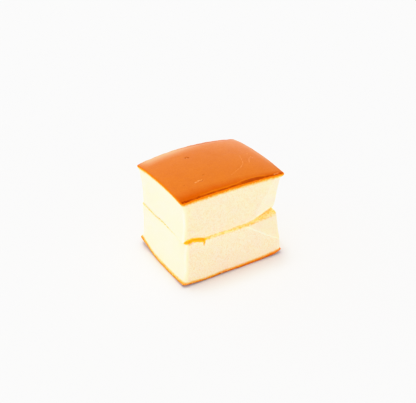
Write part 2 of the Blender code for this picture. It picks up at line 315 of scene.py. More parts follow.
# How strongly the painted highlight down that corner shows.
CORNER_HIGHLIGHT = 0.8
CORNER_REACH = (0.0100, 0.0060)
CORNER_DOWN = (0.003, 0.012)
FACET_SMOOTHNESS = 0.5
FACET_ACROSS = (-0.001, 0.002)
FACET_IN = (0.030, 0.004)
FOLD_HIGHLIGHT_HALF = (0.0011, 0.0002)  # half the width of the painted highlight along the facet's ridge, partly crumb pressed at that edge
FOLD_OFFSET = 0.0006  # that highlight lies just outside the ridge
# How strongly the painted highlight along the facet's ridge shows, on each slab.
FOLD_HIGHLIGHT = {True: 0.3, False: 1.0}
FOLD_IN = (0.004, 0.002)
FOLD_FROM_SEAM = (0.0, 0.002)
GOLD_EDGE = (0.1, 0.95)  # where the seam's gold fades, as shares of the radius of its edge
CRACK_REACH = (0.0001, 0.0007)  # how far from the seam the crevice is painted as dark as the gap's painted shade
CRACK_DEPTH = 0.35  # and by what share
# How far up or down the wall the painted glow reaches from the seam: a length, and a share of that
# radius.
GLOW_REACH = {True: (0.0006, 0.0), False: (0.0003, 0.7)}
GAP_START = (0.0, 0.35)  # how high the gap's roof is where its painted shade sets in, as shares
GAP_IN = (0.0056, 0.0024)  # how far behind the front wall that painted shade ends
ROOF_GOLD = 0.4  # how golden the wall over the gap is, as painted shade
ROOF_GOLD_UP = (0.0036, 0.0004)
ROOF_DEEP = (0.0006, -0.0002)
FLAP_DEEP = (0.0004, -0.0004)
FLAP_PALENESS = 0.6  # how much less golden the flap's top is than the rest of the seam
TEAR_DEEP_ACROSS = (0.2, 0.8)  # as shares of the tear's width
TEAR_DEEP_DOWN = (0.6, 1.2)  # as shares of its height
# How far down the flap's front the gap's painted shade reaches, as (x, distance).
GOLD_REACH = (
    (-0.0425, 0.0010), (-0.0412, -0.0008), (-0.0392, -0.0014), (-0.0378, 0.0), (-0.0360, 0.0012))


class Pattern(NamedTuple):
    """Noise that relief or colour follows."""

    size: float  # width of its lumps, in metres
    detail: float = 2.0
    roughness: float = 0.5
    amount: float = 1.0  # how far it drifts from its lowest to its highest
    spread: tuple = (0.0, 1.0)  # where its patches start and are whole, and how strong they are then
    squeeze: tuple = ()  # how closely its lumps are pressed together along X, Y and Z, where uneven


SWELLING = Pattern(0.0090, 1.0)
RAGGED_EDGES = Pattern(0.0011)
WRINKLES = Pattern(0.0022, 3.0, 0.6)
CRUMB_MOTTLE = Pattern(0.0008, 3.0, 0.75, spread=(0.36, 0.54), squeeze=(1.0, 1.0, 0.8))
CRUMB_GRAIN = Pattern(0.00035, 3.0, 0.7)
SEAM_EDGE = Pattern(0.0011, 3.0, 0.6, amount=1.1)
SEAM_BLOTCHES = Pattern(0.0010, 3.0, 0.6, spread=(0.44, 0.60), squeeze=(0.45, 1.0, 1.0))
SEAM_PATCHES = Pattern(0.0012, spread=(0.25, 0.6, 0.6, 1.0))
GAP_EDGE = Pattern(0.0008)
MARK_RAGGED = Pattern(0.0008, amount=1.6)
MARK_FADING = Pattern(0.0020, 1.0, spread=(0.36, 0.58, 0.2, 1.0))
BAND_DRIFT = Pattern(0.0050, amount=0.4)
SKIN_MOTTLE = Pattern(0.0011, 3.0, 0.7, amount=1.5)
SKIN_CLOUDS = Pattern(0.0120, amount=0.6)
SKIN_EDGE = Pattern(0.0012, amount=0.9)
SKIN_SHINE = Pattern(0.0035)
LINE_WANDER = Pattern(0.0050)
LINE_TREMBLE = Pattern(0.0013, amount=0.8)
LINE_WEIGHT = Pattern(0.0030, spread=(0.32, 0.58, 0.25, 0.95))
FRINGE_TEETH = Pattern(0.0008, 2.0, 0.6, amount=1.9, squeeze=(1.0, 1.0, 0.45))
FRINGE_DRIFT = Pattern(0.0022, amount=1.4)
TOASTING = Pattern(0.0010, spread=(0.35, 0.65))

# Pores: the smallest and largest width, as shares of their spacing, and the share of cells with one.
FINE_PORES = (0.28, 0.55, 0.8)
HOLES = (0.08, 0.24, 0.3)
PORE_STRETCH = (1.0, 1.0, 0.72)  # they are a little taller than wide
PORE_MIDDLE = 0.35  # the share of its width where a pore is deepest
PORE_SHADE = 0.4  # how strongly the painted shade inside pores shows
PRESSED_SHUT = 0.85  # how far smooth crumb closes them
HIDDEN_PUSH = 0.5  # how much of the inward relief the hidden faces take, which take none outwards

# Where relief and colour change along rim_mm, skin_mm, brown_mm and seam_mm, in millimetres.
POROUS = (-0.5, -2.0)
SWELL_FADES = (1.5, -0.5)
WRINKLED = (0.0, 0.6)
RAGGED_RIM = (-3.0, -0.8, 0.1, 0.5)
RAGGED_SEAM = (2.2, 0.5, 0.0, 0.7)  # with how strong it is at each end
SKIN_FADES = (-0.25, 0.35)
FRINGE_RUN = (-2.8, 0.4)
FRINGE_TURNS = (0.34, 0.68, 0.94)  # shares of that run where it is still pale, gold, and all orange
FRINGE_FADES = (-3.0, -1.3)
FRINGE_RAGGED = (0.7, -0.7)
LINE_INNER = 2.0  # the dark line inside the rim is whole up to here
LINE_THICKER = 1.3  # or this much further in where it is thick
LINE_SOFTNESS = 0.7
LINE_OUTER = (0.8, 1.3)
THREAD_OFF = 1.0  # the paler thread runs this much further in
THREAD_HALF = (0.7, 0.2)

# Where colours change along the fields that run from 0 to 1.
GOLD_RAGGED = (0.0, 0.25)
GOLD_SHOWS = (0.1, 0.9)
GAP_RAGGED = (0.0, 0.3)
GAP_SHOWS = (0.15, 0.85)
BAND_RAGGED = (0.0, 0.3)
BAND_SHOWS = (0.08, 0.85)
MOTTLE_SHOWS = (0.1, 0.9)
MARK_SHOWS = (1.3, 0.2)  # in half widths off a mark's path
THICK_WEIGHT = 0.8  # how strong the dark line is at least where it is thick
ROLL_GRAIN = 0.16  # how much the mottle shows where the skin rolls over
ROLL_DULLNESS = 0.95  # how much of its sheen the skin loses there
SHEEN_PATCHES = (0.5, 0.75)  # how much the sheen varies, and what it is at least


def ramp(value, start, end):
    """0 up to start and 1 from end on, with a smooth rise between them."""
    share = np.clip((value - start) / (end - start), 0.0, 1.0)
    return share * share * (3.0 - 2.0 * share)


def between(value, stops):
    """0 outside the first and last of four stops, and 1 between the middle two."""
    return ramp(value, stops[0], stops[1]) * ramp(value, stops[3], stops[2])


def soft_excess(value, softness):
    """How far value is above zero, with the bend at zero rounded off."""
    return 0.5 * (value + np.hypot(value, softness))


def rounded(a, b, radius):
    """Distances from two faces that meet at an edge, after that edge is rounded."""
    p, q = np.maximum(radius - a, 0.0), np.maximum(radius - b, 0.0)
    near = (p > 0) & (q > 0)
    share = np.maximum(p, q) / np.maximum(np.hypot(p, q), TINY)
    return np.where(near, radius - p * share, a), np.where(near, radius - q * share, b)


def seam(x, y):
    """Height of the surface that the two slabs share."""
    wave = np.sin(2 * np.pi * x / SEAM_WAVE_LENGTH) * np.cos(np.pi * y / DEPTH)
    bow = ramp(y, *BOW_FRONT) * ramp(y, *BOW_BACK) * ramp(x, *BOW_RIGHT)
    fall = SEAM_FALL_FRONT * y + SEAM_FALL_LEFT * x
    return SEAM_HEIGHT + fall + SEAM_WAVE * wave + SEAM_BOW * bow


def dome(x, y):
    """Height of the top crust: a patch through its four arched edges, swollen in the middle."""
    u = np.minimum(1.0, np.abs(x) / (WIDTH / 2))
    v = np.clip(y / (DEPTH / 2), -1.0, 1.0)
    front, back = (1 - v) / 2 * FRONT_RISE, (1 + v) / 2 * BACK_RISE
    rise = SIDE_RISE * (1 - v * v) + (front + back) * (1 - u * u)
    return CORNER_HEIGHT + rise + PUFF * (1 - u**PUFF_POWER) * (1 - v**PUFF_POWER)


def curl(x, y):
    """Height of the underside: flat on the table, and curled up towards each corner."""
    u, v = x / (BASE_WIDTH / 2), y / (BASE_DEPTH / 2)
    height, start = (
        np.where(v > 0, np.where(u > 0, c[1, 1], c[-1, 1]), np.where(u > 0, c[1, -1], c[-1, -1]))
        for c in (CURLS, CURL_STARTS))
    out = np.maximum(0.0, np.abs(u * v) - start) / (1 - start)
    return height * out * out


def over_gap(x, y):
    """How far the upper slab's underside is lifted over the gap at the torn corner."""
    across = ramp(x, *ARCH_LEFT) * ramp(x, *ARCH_RIGHT)
    return ARCH_RISE * across * ramp(y, -DEPTH / 2 + SUNK_REACH, -DEPTH / 2)


def fallen(x, y):
    """How far the lower slab's top falls away at the pinched corner."""
    return LOWER_DROP * ramp(x, DROP_FROM[0], DROP_TO[0]) * ramp(y, DROP_FROM[1], DROP_TO[1])


def under_gap(x, y):
    """How far the flap left of the tear stands above the seam. x is the place in the plain box."""
    beside = ramp(x, TEAR_X + TEAR_WIDTH / 2, TEAR_X)
    height = np.interp(x, *zip(*FLAP))
    return height * beside * ramp(y, *SUNK_IN)


def wall_inset(walls, axis, place, along, from_seam, from_crust):
    """How far a wall stands in from the edge of its crust. along runs from -1 to 1."""
    low, high = walls[axis, -1], walls[axis, 1]
    hollow, lean, waist, twist = (np.where(place > 0, b, a) for a, b in zip(low, high))
    share = from_crust / (from_seam + from_crust)
    lip = LIP * ramp(from_crust, LIP_HEIGHT, LIP_HEIGHT + LIP_FADE)
    hollow = hollow * (1 + lean * along)
    return lip + hollow * np.sin(np.pi * share) + (waist + twist * along) * share * share


def pinched(x, y, distance, ridge_x, run, slope):
    """y after the corner right of the front is pinched in, at this distance from the seam."""
    push = slope * soft_excess(x - ridge_x - run * distance, RIDGE_SOFTNESS)
    return y + push * np.maximum(0.0, 1 - (y + DEPTH / 2) / PINCH_REACH)


def torn(x, y, below_seam):
    """y after the tear is cut into the lower slab's front wall. x is the place in the plain box."""
    across = np.maximum(0.0, 1 - np.abs(x - TEAR_X) / (TEAR_WIDTH / 2))
    down = np.maximum(0.0, 1 - below_seam / TEAR_HEIGHT)
    return y + TEAR_DEPTH * across * np.sqrt(down) * ramp(y, *SUNK_IN)


def seam_radius(x, slab):
    """The walls turn in to the seam more and more softly from left to right."""
    share = x / WIDTH + 0.5
    softness = slab.seam_softness + (1 - slab.seam_softness) * ramp(x, *WEDGE_OPENS)
    return softness * (LEFT_SEAM_RADIUS + (RIGHT_SEAM_RADIUS - LEFT_SEAM_RADIUS) * share)


def in_plan(x, y, slab, from_seam, from_crust):
    """Plan position on a slab with round edges and sunken walls, and how far in from its edge."""
    half_width, half_depth = slab.width / 2, slab.depth / 2
    ring = np.minimum(half_width - np.abs(x), half_depth - np.abs(y))
    new_ring = rounded(ring, from_crust, CRUST_RADIUS)[0]
    new_ring = rounded(new_ring, from_seam, seam_radius(x, slab))[0]
    x = x * (half_width - new_ring) / np.maximum(half_width - ring, TINY)
    y = y * (half_depth - new_ring) / np.maximum(half_depth - ring, TINY)
    corner = CRUST_CORNER + (CRUMB_CORNER - CRUST_CORNER) * ramp(from_crust, 0.0, CRUMB_CORNER)
    a, b = rounded(half_width - np.abs(x), half_depth - np.abs(y), corner)
    x, y = np.copysign(half_width - a, x), np.copysign(half_depth - b, y)
    u, v = x / half_width, y / half_depth
    x_inset = wall_inset(slab.walls, 0, x, v, from_seam, from_crust)
    y_inset = wall_inset(slab.walls, 1, y, u, from_seam, from_crust)
    return x - u * x_inset, y - v * y_inset, ring


def upper_place(x, y, above_seam, slab):
    """Where points of the upper slab's plain box go. above_seam is their height in the box."""
    thickness = slab.thickness
    px, py, ring = in_plan(x, y, slab, above_seam, thickness - above_seam)
    held = 1 - ramp(above_seam, thickness - UPPER_PINCH_END, thickness - LIP_HEIGHT)
    py = pinched(px, py, above_seam, UPPER_RIDGE_X, UPPER_RIDGE_RUN, UPPER_PINCH * held)
    above_seam = rounded(ring, above_seam, seam_radius(x, slab))[1]
    below_crust = rounded(ring, thickness - above_seam, CRUST_RADIUS)[1]
    low = seam(px, py) + SLAB_GAP / 2 + over_gap(px, py)
    return px, py, low + (dome(px, py) - low) * (1 - below_crust / thickness)


def lower_place(x, y, above_crust, slab):
    """Where points of the lower slab's plain box go. Its crust is underneath."""
    thickness = slab.thickness
    below_seam = thickness - above_crust
    px, py, ring = in_plan(x, y, slab, below_seam, above_crust)
    slump = SLUMP * ramp(py, *SLUMP_FROM) * ramp(below_seam, SLUMP_HEIGHT, 0.0)
    trim = BASE_TRIM * ramp(py, 0.0, BASE_DEPTH / 2)
    px = px + (trim + slump) * np.maximum(0.0, -px / (BASE_WIDTH / 2))
    py = pinched(px, py, below_seam, LOWER_RIDGE_X, LOWER_RIDGE_RUN, LOWER_PINCH)
    py = torn(x, py, below_seam)
    below_seam = rounded(ring, below_seam, seam_radius(x, slab))[1]
    above_crust = rounded(ring, thickness - below_seam, CRUST_RADIUS)[1]
    low = curl(px, py)
    flare = CURL_FLARE * low * below_seam / thickness
    high = seam(px, py) - SLAB_GAP / 2 + under_gap(x, py) - fallen(px, py)
    px, py = px + np.sign(px) * flare, py + np.sign(py) * flare
    return px, py, low + (high - low) * above_crust / thickness


class Slab(NamedTuple):
    """The plain box that one slab starts as, and how its points are moved."""

    name: str
    node: str
    width: float
    depth: float
    thickness: float
    crust_up: bool
    walls: dict
    browning: Browning
    seam_softness: float  # the upper slab's lower edge is crisper than the edge that it lies on
    place: Callable


UPPER = Slab(
    "upper_slab", "upper_sponge", WIDTH, DEPTH, CORNER_HEIGHT - SEAM_HEIGHT,
    True, UPPER_WALLS, UPPER_BROWNING, 0.15, upper_place,
)
LOWER = Slab(
    "lower_slab", "lower_sponge", BASE_WIDTH, BASE_DEPTH, SEAM_HEIGHT,
    False, LOWER_WALLS, LOWER_BROWNING, 1.0, lower_place,
)


def lattice_lines(start, end, cell, extra=()):
    """Grid lines from start to end: close together near both ends and at the extra ones."""
    inner_start, inner_end = start + RIM_LINES[-1], end - RIM_LINES[-1]
    steps = math.ceil((inner_end - inner_start) / cell)
    even = [v for v in np.linspace(inner_start, inner_end, steps + 1)
            if all(abs(v - e) > cell / 2 for e in extra)]
    near = [start, end] + [start + d for d in RIM_LINES[:-1]] + [end - d for d in RIM_LINES[:-1]]
    return np.array(sorted([*near, *even, *extra]))


def cells(sheet, outward):
    """Corners of each cell of a sheet of point numbers, turned so that its face points outwards."""
    corners = (sheet[:-1, :-1], sheet[1:, :-1], sheet[1:, 1:], sheet[:-1, 1:])
    quads = np.stack([corner.ravel() for corner in corners], axis=1)
    return quads if outward else quads[:, ::-1]


def hidden_face(sheet, x_lines, y_lines, front_margin, first_new):
    """A face that is as fine as the walls near its edge only. Returns cells, triangles, new points."""
    i0 = int(np.searchsorted(x_lines, x_lines[0] + HIDDEN_MARGIN))
    i1 = int(np.searchsorted(x_lines, x_lines[-1] - HIDDEN_MARGIN))
    j0 = int(np.searchsorted(y_lines, y_lines[0] + front_margin))
    j1 = int(np.searchsorted(y_lines, y_lines[-1] - HIDDEN_MARGIN))
    fine = np.ones((len(x_lines) - 1, len(y_lines) - 1), bool)
    fine[i0:i1, j0:j1] = False
    loop = [(i, j0) for i in range(i0, i1)] + [(i1, j) for j in range(j0, j1)]
    loop += [(i, j1) for i in range(i1, i0, -1)] + [(i0, j) for j in range(j1, j0, -1)]
    rim = [(x_lines[i] * MM, y_lines[j] * MM) for i, j in loop]
    xs = np.arange(x_lines[i0] + HIDDEN_CELL / 2, x_lines[i1] - HIDDEN_CELL / 3, HIDDEN_CELL)
    ys = np.arange(y_lines[j0] + HIDDEN_CELL / 2, y_lines[j1] - HIDDEN_CELL / 3, HIDDEN_CELL)
    inside = [(x, y) for x in xs for y in ys]
    points = [Vector(p) for p in rim] + [Vector((x * MM, y * MM)) for x, y in inside]
    edges = [(k, (k + 1) % len(loop)) for k in range(len(loop))]
    _, _, faces, origin, _, _ = delaunay_2d_cdt(points, edges, [], 0, ONE_POINT)
    numbers = [int(sheet[i, j]) for i, j in loop] + list(range(first_new, first_new + len(inside)))
    triangles = np.array([[numbers[origin[v][0]] for v in face] for face in faces])
    return fine.ravel(), triangles, np.array(inside)


def slab_lattice(slab, cell):
    """Box points, faces, and which faces are crust."""
    tear = [TEAR_X + d for d in TEAR_OFFSETS] if not slab.crust_up else []
    x_lines = lattice_lines(-slab.width / 2, slab.width / 2, cell, tear)
    y_lines = lattice_lines(-slab.depth / 2, slab.depth / 2, cell)
    z_lines = lattice_lines(0.0, slab.thickness, cell)
    number = np.zeros((len(x_lines), len(y_lines), len(z_lines)), int)
    shell = np.zeros(number.shape, bool)
    shell[[0, -1]] = shell[:, [0, -1]] = shell[:, :, [0, -1]] = True
    number[shell] = np.arange(shell.sum())
    i, j, k = np.nonzero(shell)
    points = np.stack([x_lines[i], y_lines[j], z_lines[k]], axis=1)
    quads = [
        cells(number[0], False), cells(number[-1], True),
        cells(number[:, 0], True), cells(number[:, -1], False),
    ]
    crust = [np.zeros(len(q), bool) for q in quads]
    triangles = []
    for level, height in ((0, 0.0), (-1, slab.thickness)):
        sheet = number[:, :, level]
        face = cells(sheet, level == -1)
        is_crust = (level == -1) == slab.crust_up
        if not (is_crust and slab.crust_up):
            margin = HIDDEN_MARGIN if is_crust else FRONT_MARGIN
            fine, flat, inside = hidden_face(sheet, x_lines, y_lines, margin, len(points))
            face = face[fine]
            triangles.append((flat if level == -1 else flat[:, ::-1], is_crust))
            level_points = np.column_stack([inside, np.full(len(inside), height)])
            points = np.concatenate([points, level_points])
        quads.append(face)
        crust.append(np.full(len(face), is_crust))
    faces = [np.concatenate(quads)] + [t for t, _ in triangles]
    crust += [np.full(len(t), is_crust) for t, is_crust in triangles]
    used, renumbered = np.unique(np.concatenate([f.ravel() for f in faces]), return_inverse=True)
    splits = np.cumsum([f.size for f in faces])[:-1]
    faces = [part.reshape(-1, f.shape[1]) for part, f in zip(np.split(renumbered, splits), faces)]
    return points[used], [row for f in faces for row in f.tolist()], np.concatenate(crust)


class Spots(NamedTuple):
    """Where the points of a slab's plain box lie, in metres."""

    x: np.ndarray
    y: np.ndarray
    from_left: np.ndarray
    from_front: np.ndarray
    from_crust: np.ndarray
    from_seam: np.ndarray
    rim_run: np.ndarray  # how far in from the crust's edge, or less than zero down the wall
    seam_run: np.ndarray  # how far along the wall from the seam, or less than zero inside it
    on_crust: np.ndarray
    on_seam: np.ndarray


def find_spots(slab, box):
    """The spots of a box's points."""
    x, y, z = box.T
    from_crust = slab.thickness - z if slab.crust_up else z
    from_seam = slab.thickness - from_crust
    ring = np.minimum(slab.width / 2 - np.abs(x), slab.depth / 2 - np.abs(y))
    on_crust, on_seam = from_crust < TINY, from_seam < TINY
    return Spots(
        x, y, x + slab.width / 2, y + slab.depth / 2, from_crust, from_seam,
        np.where(on_crust, ring, -from_crust), np.where(on_seam, -ring, from_seam),
        on_crust, on_seam)


def by_wall(values, at, slab):
    """A value for each wall, blended round the corners between them."""
    away = (at.from_left, slab.width / 2 - at.x, at.from_front, slab.depth / 2 - at.y)
    weights = [1 / (np.maximum(d, 0.0) * MM + WALL_BLEND) ** WALL_BLEND_POWER for d in away]
    return sum(value * weight for value, weight in zip(values, weights)) / sum(weights)


def rim_fields(slab, at):
    """How the browning follows the rim, and the darker band inside it."""
    skin, cut, fringe, band = (by_wall(values, at, slab) for values in slab.browning)
    band = 1 - ramp(at.rim_run * MM, 0.0, BAND_SPREAD * band)
    if slab.crust_up:
        front_band = FRONT_BAND * (1 - BAND_TAPER * at.x / WIDTH)
        band = np.maximum(band, 1 - ramp(at.from_front / front_band, 0.0, 1.0))
    else:
        skin, cut = (v * (1 + BASE_TAPER * at.x / WIDTH) for v in (skin, cut))
    past_cut = at.rim_run * MM + cut
    return {
        "rim_mm": at.rim_run * MM,
        "skin_mm": at.rim_run * MM + skin,
        "brown_mm": np.where(past_cut < 0, past_cut / fringe, past_cut),
        "band": band,
        "darkness": by_wall(RIM_DARKNESS, at, slab),
    }


def crust_fields(slab, at):
    """Which faces are free or on top, and where the top crust has painted sheen, a rim line and a thread.
    """
    # Painted sheen: the crust is painted paler where its shine shows, at the back left and along the
    # right edge.
    bleached = between(at.x, SHEEN_PAINT_BACK_X) * ramp(at.y, *SHEEN_PAINT_BACK_Y)
    on_right = ramp(at.x, *SHEEN_PAINT_RIGHT_X) * ramp(at.y, *SHEEN_PAINT_RIGHT_Y)
    return {
        "thick": between(at.x, DARK_RIM_X),
        "thread": THREAD * between(at.x, THREAD_X) * (at.from_front < THREAD_IN),
        "bleached": slab.crust_up * np.maximum(bleached, SHEEN_PAINT_RIGHT * on_right),
        "free": np.where(at.on_seam | (at.on_crust & (not slab.crust_up)), 0.0, 1.0),
        "top": np.where(at.on_crust & slab.crust_up, 1.0, 0.0),
    }


def gap_depth(slab, at, gap):
    """How far in the torn gap a point lies, from 0 to 1."""
    if slab.crust_up:
        return gap * ramp(at.seam_run, *ROOF_DEEP)
    reach = np.interp(at.x, *zip(*GOLD_REACH))
    across = 1 - ramp(np.abs(at.x - TEAR_X), *(TEAR_WIDTH * share for share in TEAR_DEEP_ACROSS))
    down = 1 - ramp(at.from_seam, *(TEAR_HEIGHT * share for share in TEAR_DEEP_DOWN))
    tear = across * down * (at.from_front < FLAP_FRONT)
    return np.maximum(gap * ramp(at.seam_run - reach, *FLAP_DEEP), tear)


def seam_fields(slab, at):
    """Gold along the seam, partly the yellower skin there and partly painted shade, painted shade in the
    torn gap, and a painted glow in both.
    """
    gold = by_wall(SEAM_GOLD, at, slab)
    radius = seam_radius(at.x, slab)
    gap = ramp(ramp(at.x, *ARCH_RIGHT), *GAP_START) * ramp(at.from_front, *GAP_IN)
    fades = GOLD_EDGE[0] * radius, GOLD_EDGE[1] * radius + by_wall(SEAM_REACH, at, slab)
    # Painted shade in the crevice along the seam, partly the yellower skin there.
    crevice = 1 - ramp(at.seam_run, *fades)
    if slab.crust_up:
        crevice = np.maximum(crevice, ROOF_GOLD * gap * ramp(at.seam_run, *ROOF_GOLD_UP))
    else:
        crevice = crevice * (1 - FLAP_PALENESS * gap)
    crack = gold * (1 - ramp(np.abs(at.seam_run), *CRACK_REACH))
    # Where the painted glow reaches from the seam.
    lit_length, lit_share = GLOW_REACH[slab.crust_up]
    lit = 1 - ramp(at.seam_run, 0.0, lit_length + lit_share * radius)
    return {
        "seam_mm": at.seam_run * MM,
        "golden": crevice * gold,
        "lit_seam": lit * by_wall(SEAM_GLOW, at, slab) * (1 - gap),
        # deep is where the gap's painted shade goes.
        "deep": np.maximum(gap_depth(slab, at, gap), crack * (1 - gap) * CRACK_DEPTH),
    }


def wall_fields(slab, at):
    """Where the cut crumb is pressed smooth, where it takes the left wall's painted light, and its two
    painted highlights.
    """
    ridge_x, run = RIDGES[slab.crust_up]
    past_ridge = at.x - ridge_x - run * at.from_seam
    facet = ramp(past_ridge, *FACET_ACROSS) * ramp(at.from_front, *FACET_IN)
    pressed = np.maximum(by_wall(SMOOTHNESS[slab.crust_up], at, slab), FACET_SMOOTHNESS * facet)
    corner = ramp(at.from_left, *CORNER_ACROSS)
    off_corner = np.abs(at.from_left - at.from_front + CORNER_OFFSET[slab.crust_up])
    near_corner = ramp(np.maximum(at.from_left, at.from_front), *CORNER_REACH)
    corner_highlight = CORNER_HIGHLIGHT * ramp(off_corner, *CORNER_HIGHLIGHT_HALF) * near_corner
    corner_highlight = corner_highlight * ramp(at.from_crust, *CORNER_DOWN)
    fold_highlight = FOLD_HIGHLIGHT[slab.crust_up] * ramp(np.abs(past_ridge + FOLD_OFFSET), *FOLD_HIGHLIGHT_HALF)
    fold_highlight = fold_highlight * ramp(at.from_front, *FOLD_IN) * ramp(at.from_seam, *FOLD_FROM_SEAM)
    return {
        "pressed": np.clip(np.maximum(pressed, corner), 0.0, 1.0),
        # pale is painted light: the left wall and the corner beside it take a colour tuned for the
        # stronger light from the left.
        "pale": np.maximum(by_wall(PAINTED_LIGHT, at, slab), corner),
        # ridge is painted highlight down the front left corner and along the facets' ridges, partly crumb
        # pressed at those edges.
        "ridge": np.maximum(corner_highlight, fold_highlight),
    }


def slab_fields(slab, box):
    """The named values that relief and colour follow, one of each for every point."""
    at = find_spots(slab, box)
    fields = {}
    for part in (rim_fields, crust_fields, seam_fields, wall_fields):
        fields.update(part(slab, at))
    return fields


def path_distance(path, a, b):
    """How far points (a, b) are from a path of straight pieces."""
    nearest = np.full(len(a), np.inf)
    for (a0, b0), (a1, b1) in zip(path[:-1], path[1:]):
        da, db = a1 - a0, b1 - b0
        share = np.clip(((a - a0) * da + (b - b0) * db) / (da * da + db * db), 0.0, 1.0)
        nearest = np.minimum(nearest, np.hypot(a - a0 - share * da, b - b0 - share * db))
    return nearest


def marked(marks, a, b, where):
    """How deep marks press points (a, b) in, how many half widths off the nearest is, and its tone."""
    depth, tone, off = np.zeros(len(a)), np.zeros(len(a)), np.full(len(a), FAR_OFF)
    for mark in marks:
        mark_off = np.where(where, path_distance(mark.path, a, b) / (mark.width / 2), FAR_OFF)
        depth = np.maximum(depth, mark.depth * ramp(mark_off, *MARK_EDGE))
        off, tone = nearer((off, tone), (mark_off, mark.tone))
    return depth, off, tone


def nearer(one, other):
    """Of two marks, each an (off, tone), the one that is nearer at each point."""
    return np.minimum(one[0], other[0]), np.where(other[0] < one[0], other[1], one[1])


def upper_fine_form(x, y, z, from_crust, on_top):
    """The trough and the waver at the back of the top, dents, scratches, creases and specks."""
    from_back = DEPTH / 2 - y
    trough = np.exp(-(((from_back - BACK_DIP_IN) / BACK_DIP_WIDTH) ** 2))
    dent, *mark = marked(MARKS, x, y, on_top)
    waver = sum(np.sin(2 * np.pi * x / length) for length in BACK_WOBBLE_LENGTHS)
    waver = BACK_WOBBLE * waver * ramp(from_back, BACK_WOBBLE_IN, 0.0)
    waver = waver * ramp(from_crust, BACK_WOBBLE_DOWN, 0.0)
    z = z - on_top * (BACK_DIP * trough * ramp(x, *BACK_DIP_X)) - dent + waver
    crease, *crease_mark = marked(UPPER_CREASES, x, z, (y < -DEPTH / 2 + FLAP_FRONT) & ~on_top)
    y = y + crease
    speck_mark = marked(SPECKS, y, z, (x < -WIDTH / 2 + FLAP_FRONT) & ~on_top)[1:]
    return (x, y, z), nearer(nearer(mark, crease_mark), speck_mark)


def lower_fine_form(x, y, z, from_crust):
    """The wave, the round tip and the ear of the base crust, and the creases in the torn flap."""
    front, back = -BASE_DEPTH / 2, BASE_DEPTH / 2
    wave = np.exp(-(((x - BASE_WAVE_X) / BASE_WAVE_WIDTH) ** 2)) * ramp(y, front + BASE_WAVE_REACH, front)
    z = z + BASE_WAVE * wave * ramp(from_crust, BASE_WAVE_UP, 0.0)
    z = z + BASE_TIP * ramp(x, *BASE_TIP_X) * ramp(y, *BASE_TIP_Y) * ramp(from_crust, BASE_TIP_UP, 0.0)
    ear = ramp(y, back - BASE_EAR_REACH, back) * (x < 0)
    x = x - BASE_EAR * ear * ramp(from_crust, BASE_EAR_UP, 0.0)
    crease, *mark = marked(CREASES, x, z, y < front + FLAP_FRONT)
    return (x, y + crease, z), mark


def fine_form(slab, place, fields):
    """Adds what is too small for the solids, and notes which mark is nearest to each point."""
    from_crust = -np.minimum(fields["rim_mm"], 0.0) / MM
    if slab.crust_up:
        points, mark = upper_fine_form(*place, from_crust, fields["top"] > 0)
    else:
        points, mark = lower_fine_form(*place, from_crust)
    fields["mark_off"], fields["mark_tone"] = mark
    return np.stack(points, axis=1)


def slab_mesh(slab, cell):
    """The slab's closed mesh, in the place of its node, with its fields as attributes."""
    box, faces, crust = slab_lattice(slab, cell)
    place = slab.place(*box.T, slab)
    low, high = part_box(slab.node)
    shift = [(low[k] + high[k]) / 2 - (place[k].min() + place[k].max()) / 2 for k in range(2)]
    fields = slab_fields(slab, box)
    points = fine_form(slab, place, fields) + np.array([*shift, 0.0])
    mesh = bpy.data.meshes.new(slab.name)
    mesh.from_pydata(points.tolist(), [], faces)
    for name, values in fields.items():
        attribute = mesh.attributes.new(name, "FLOAT", "POINT")
        attribute.data.foreach_set("value", values.astype(np.float32))
    attribute = mesh.attributes.new("on_crust", "BOOLEAN", "FACE")
    attribute.data.foreach_set("value", crust)
    mesh.shade_smooth()
    mesh.update()
    return mesh


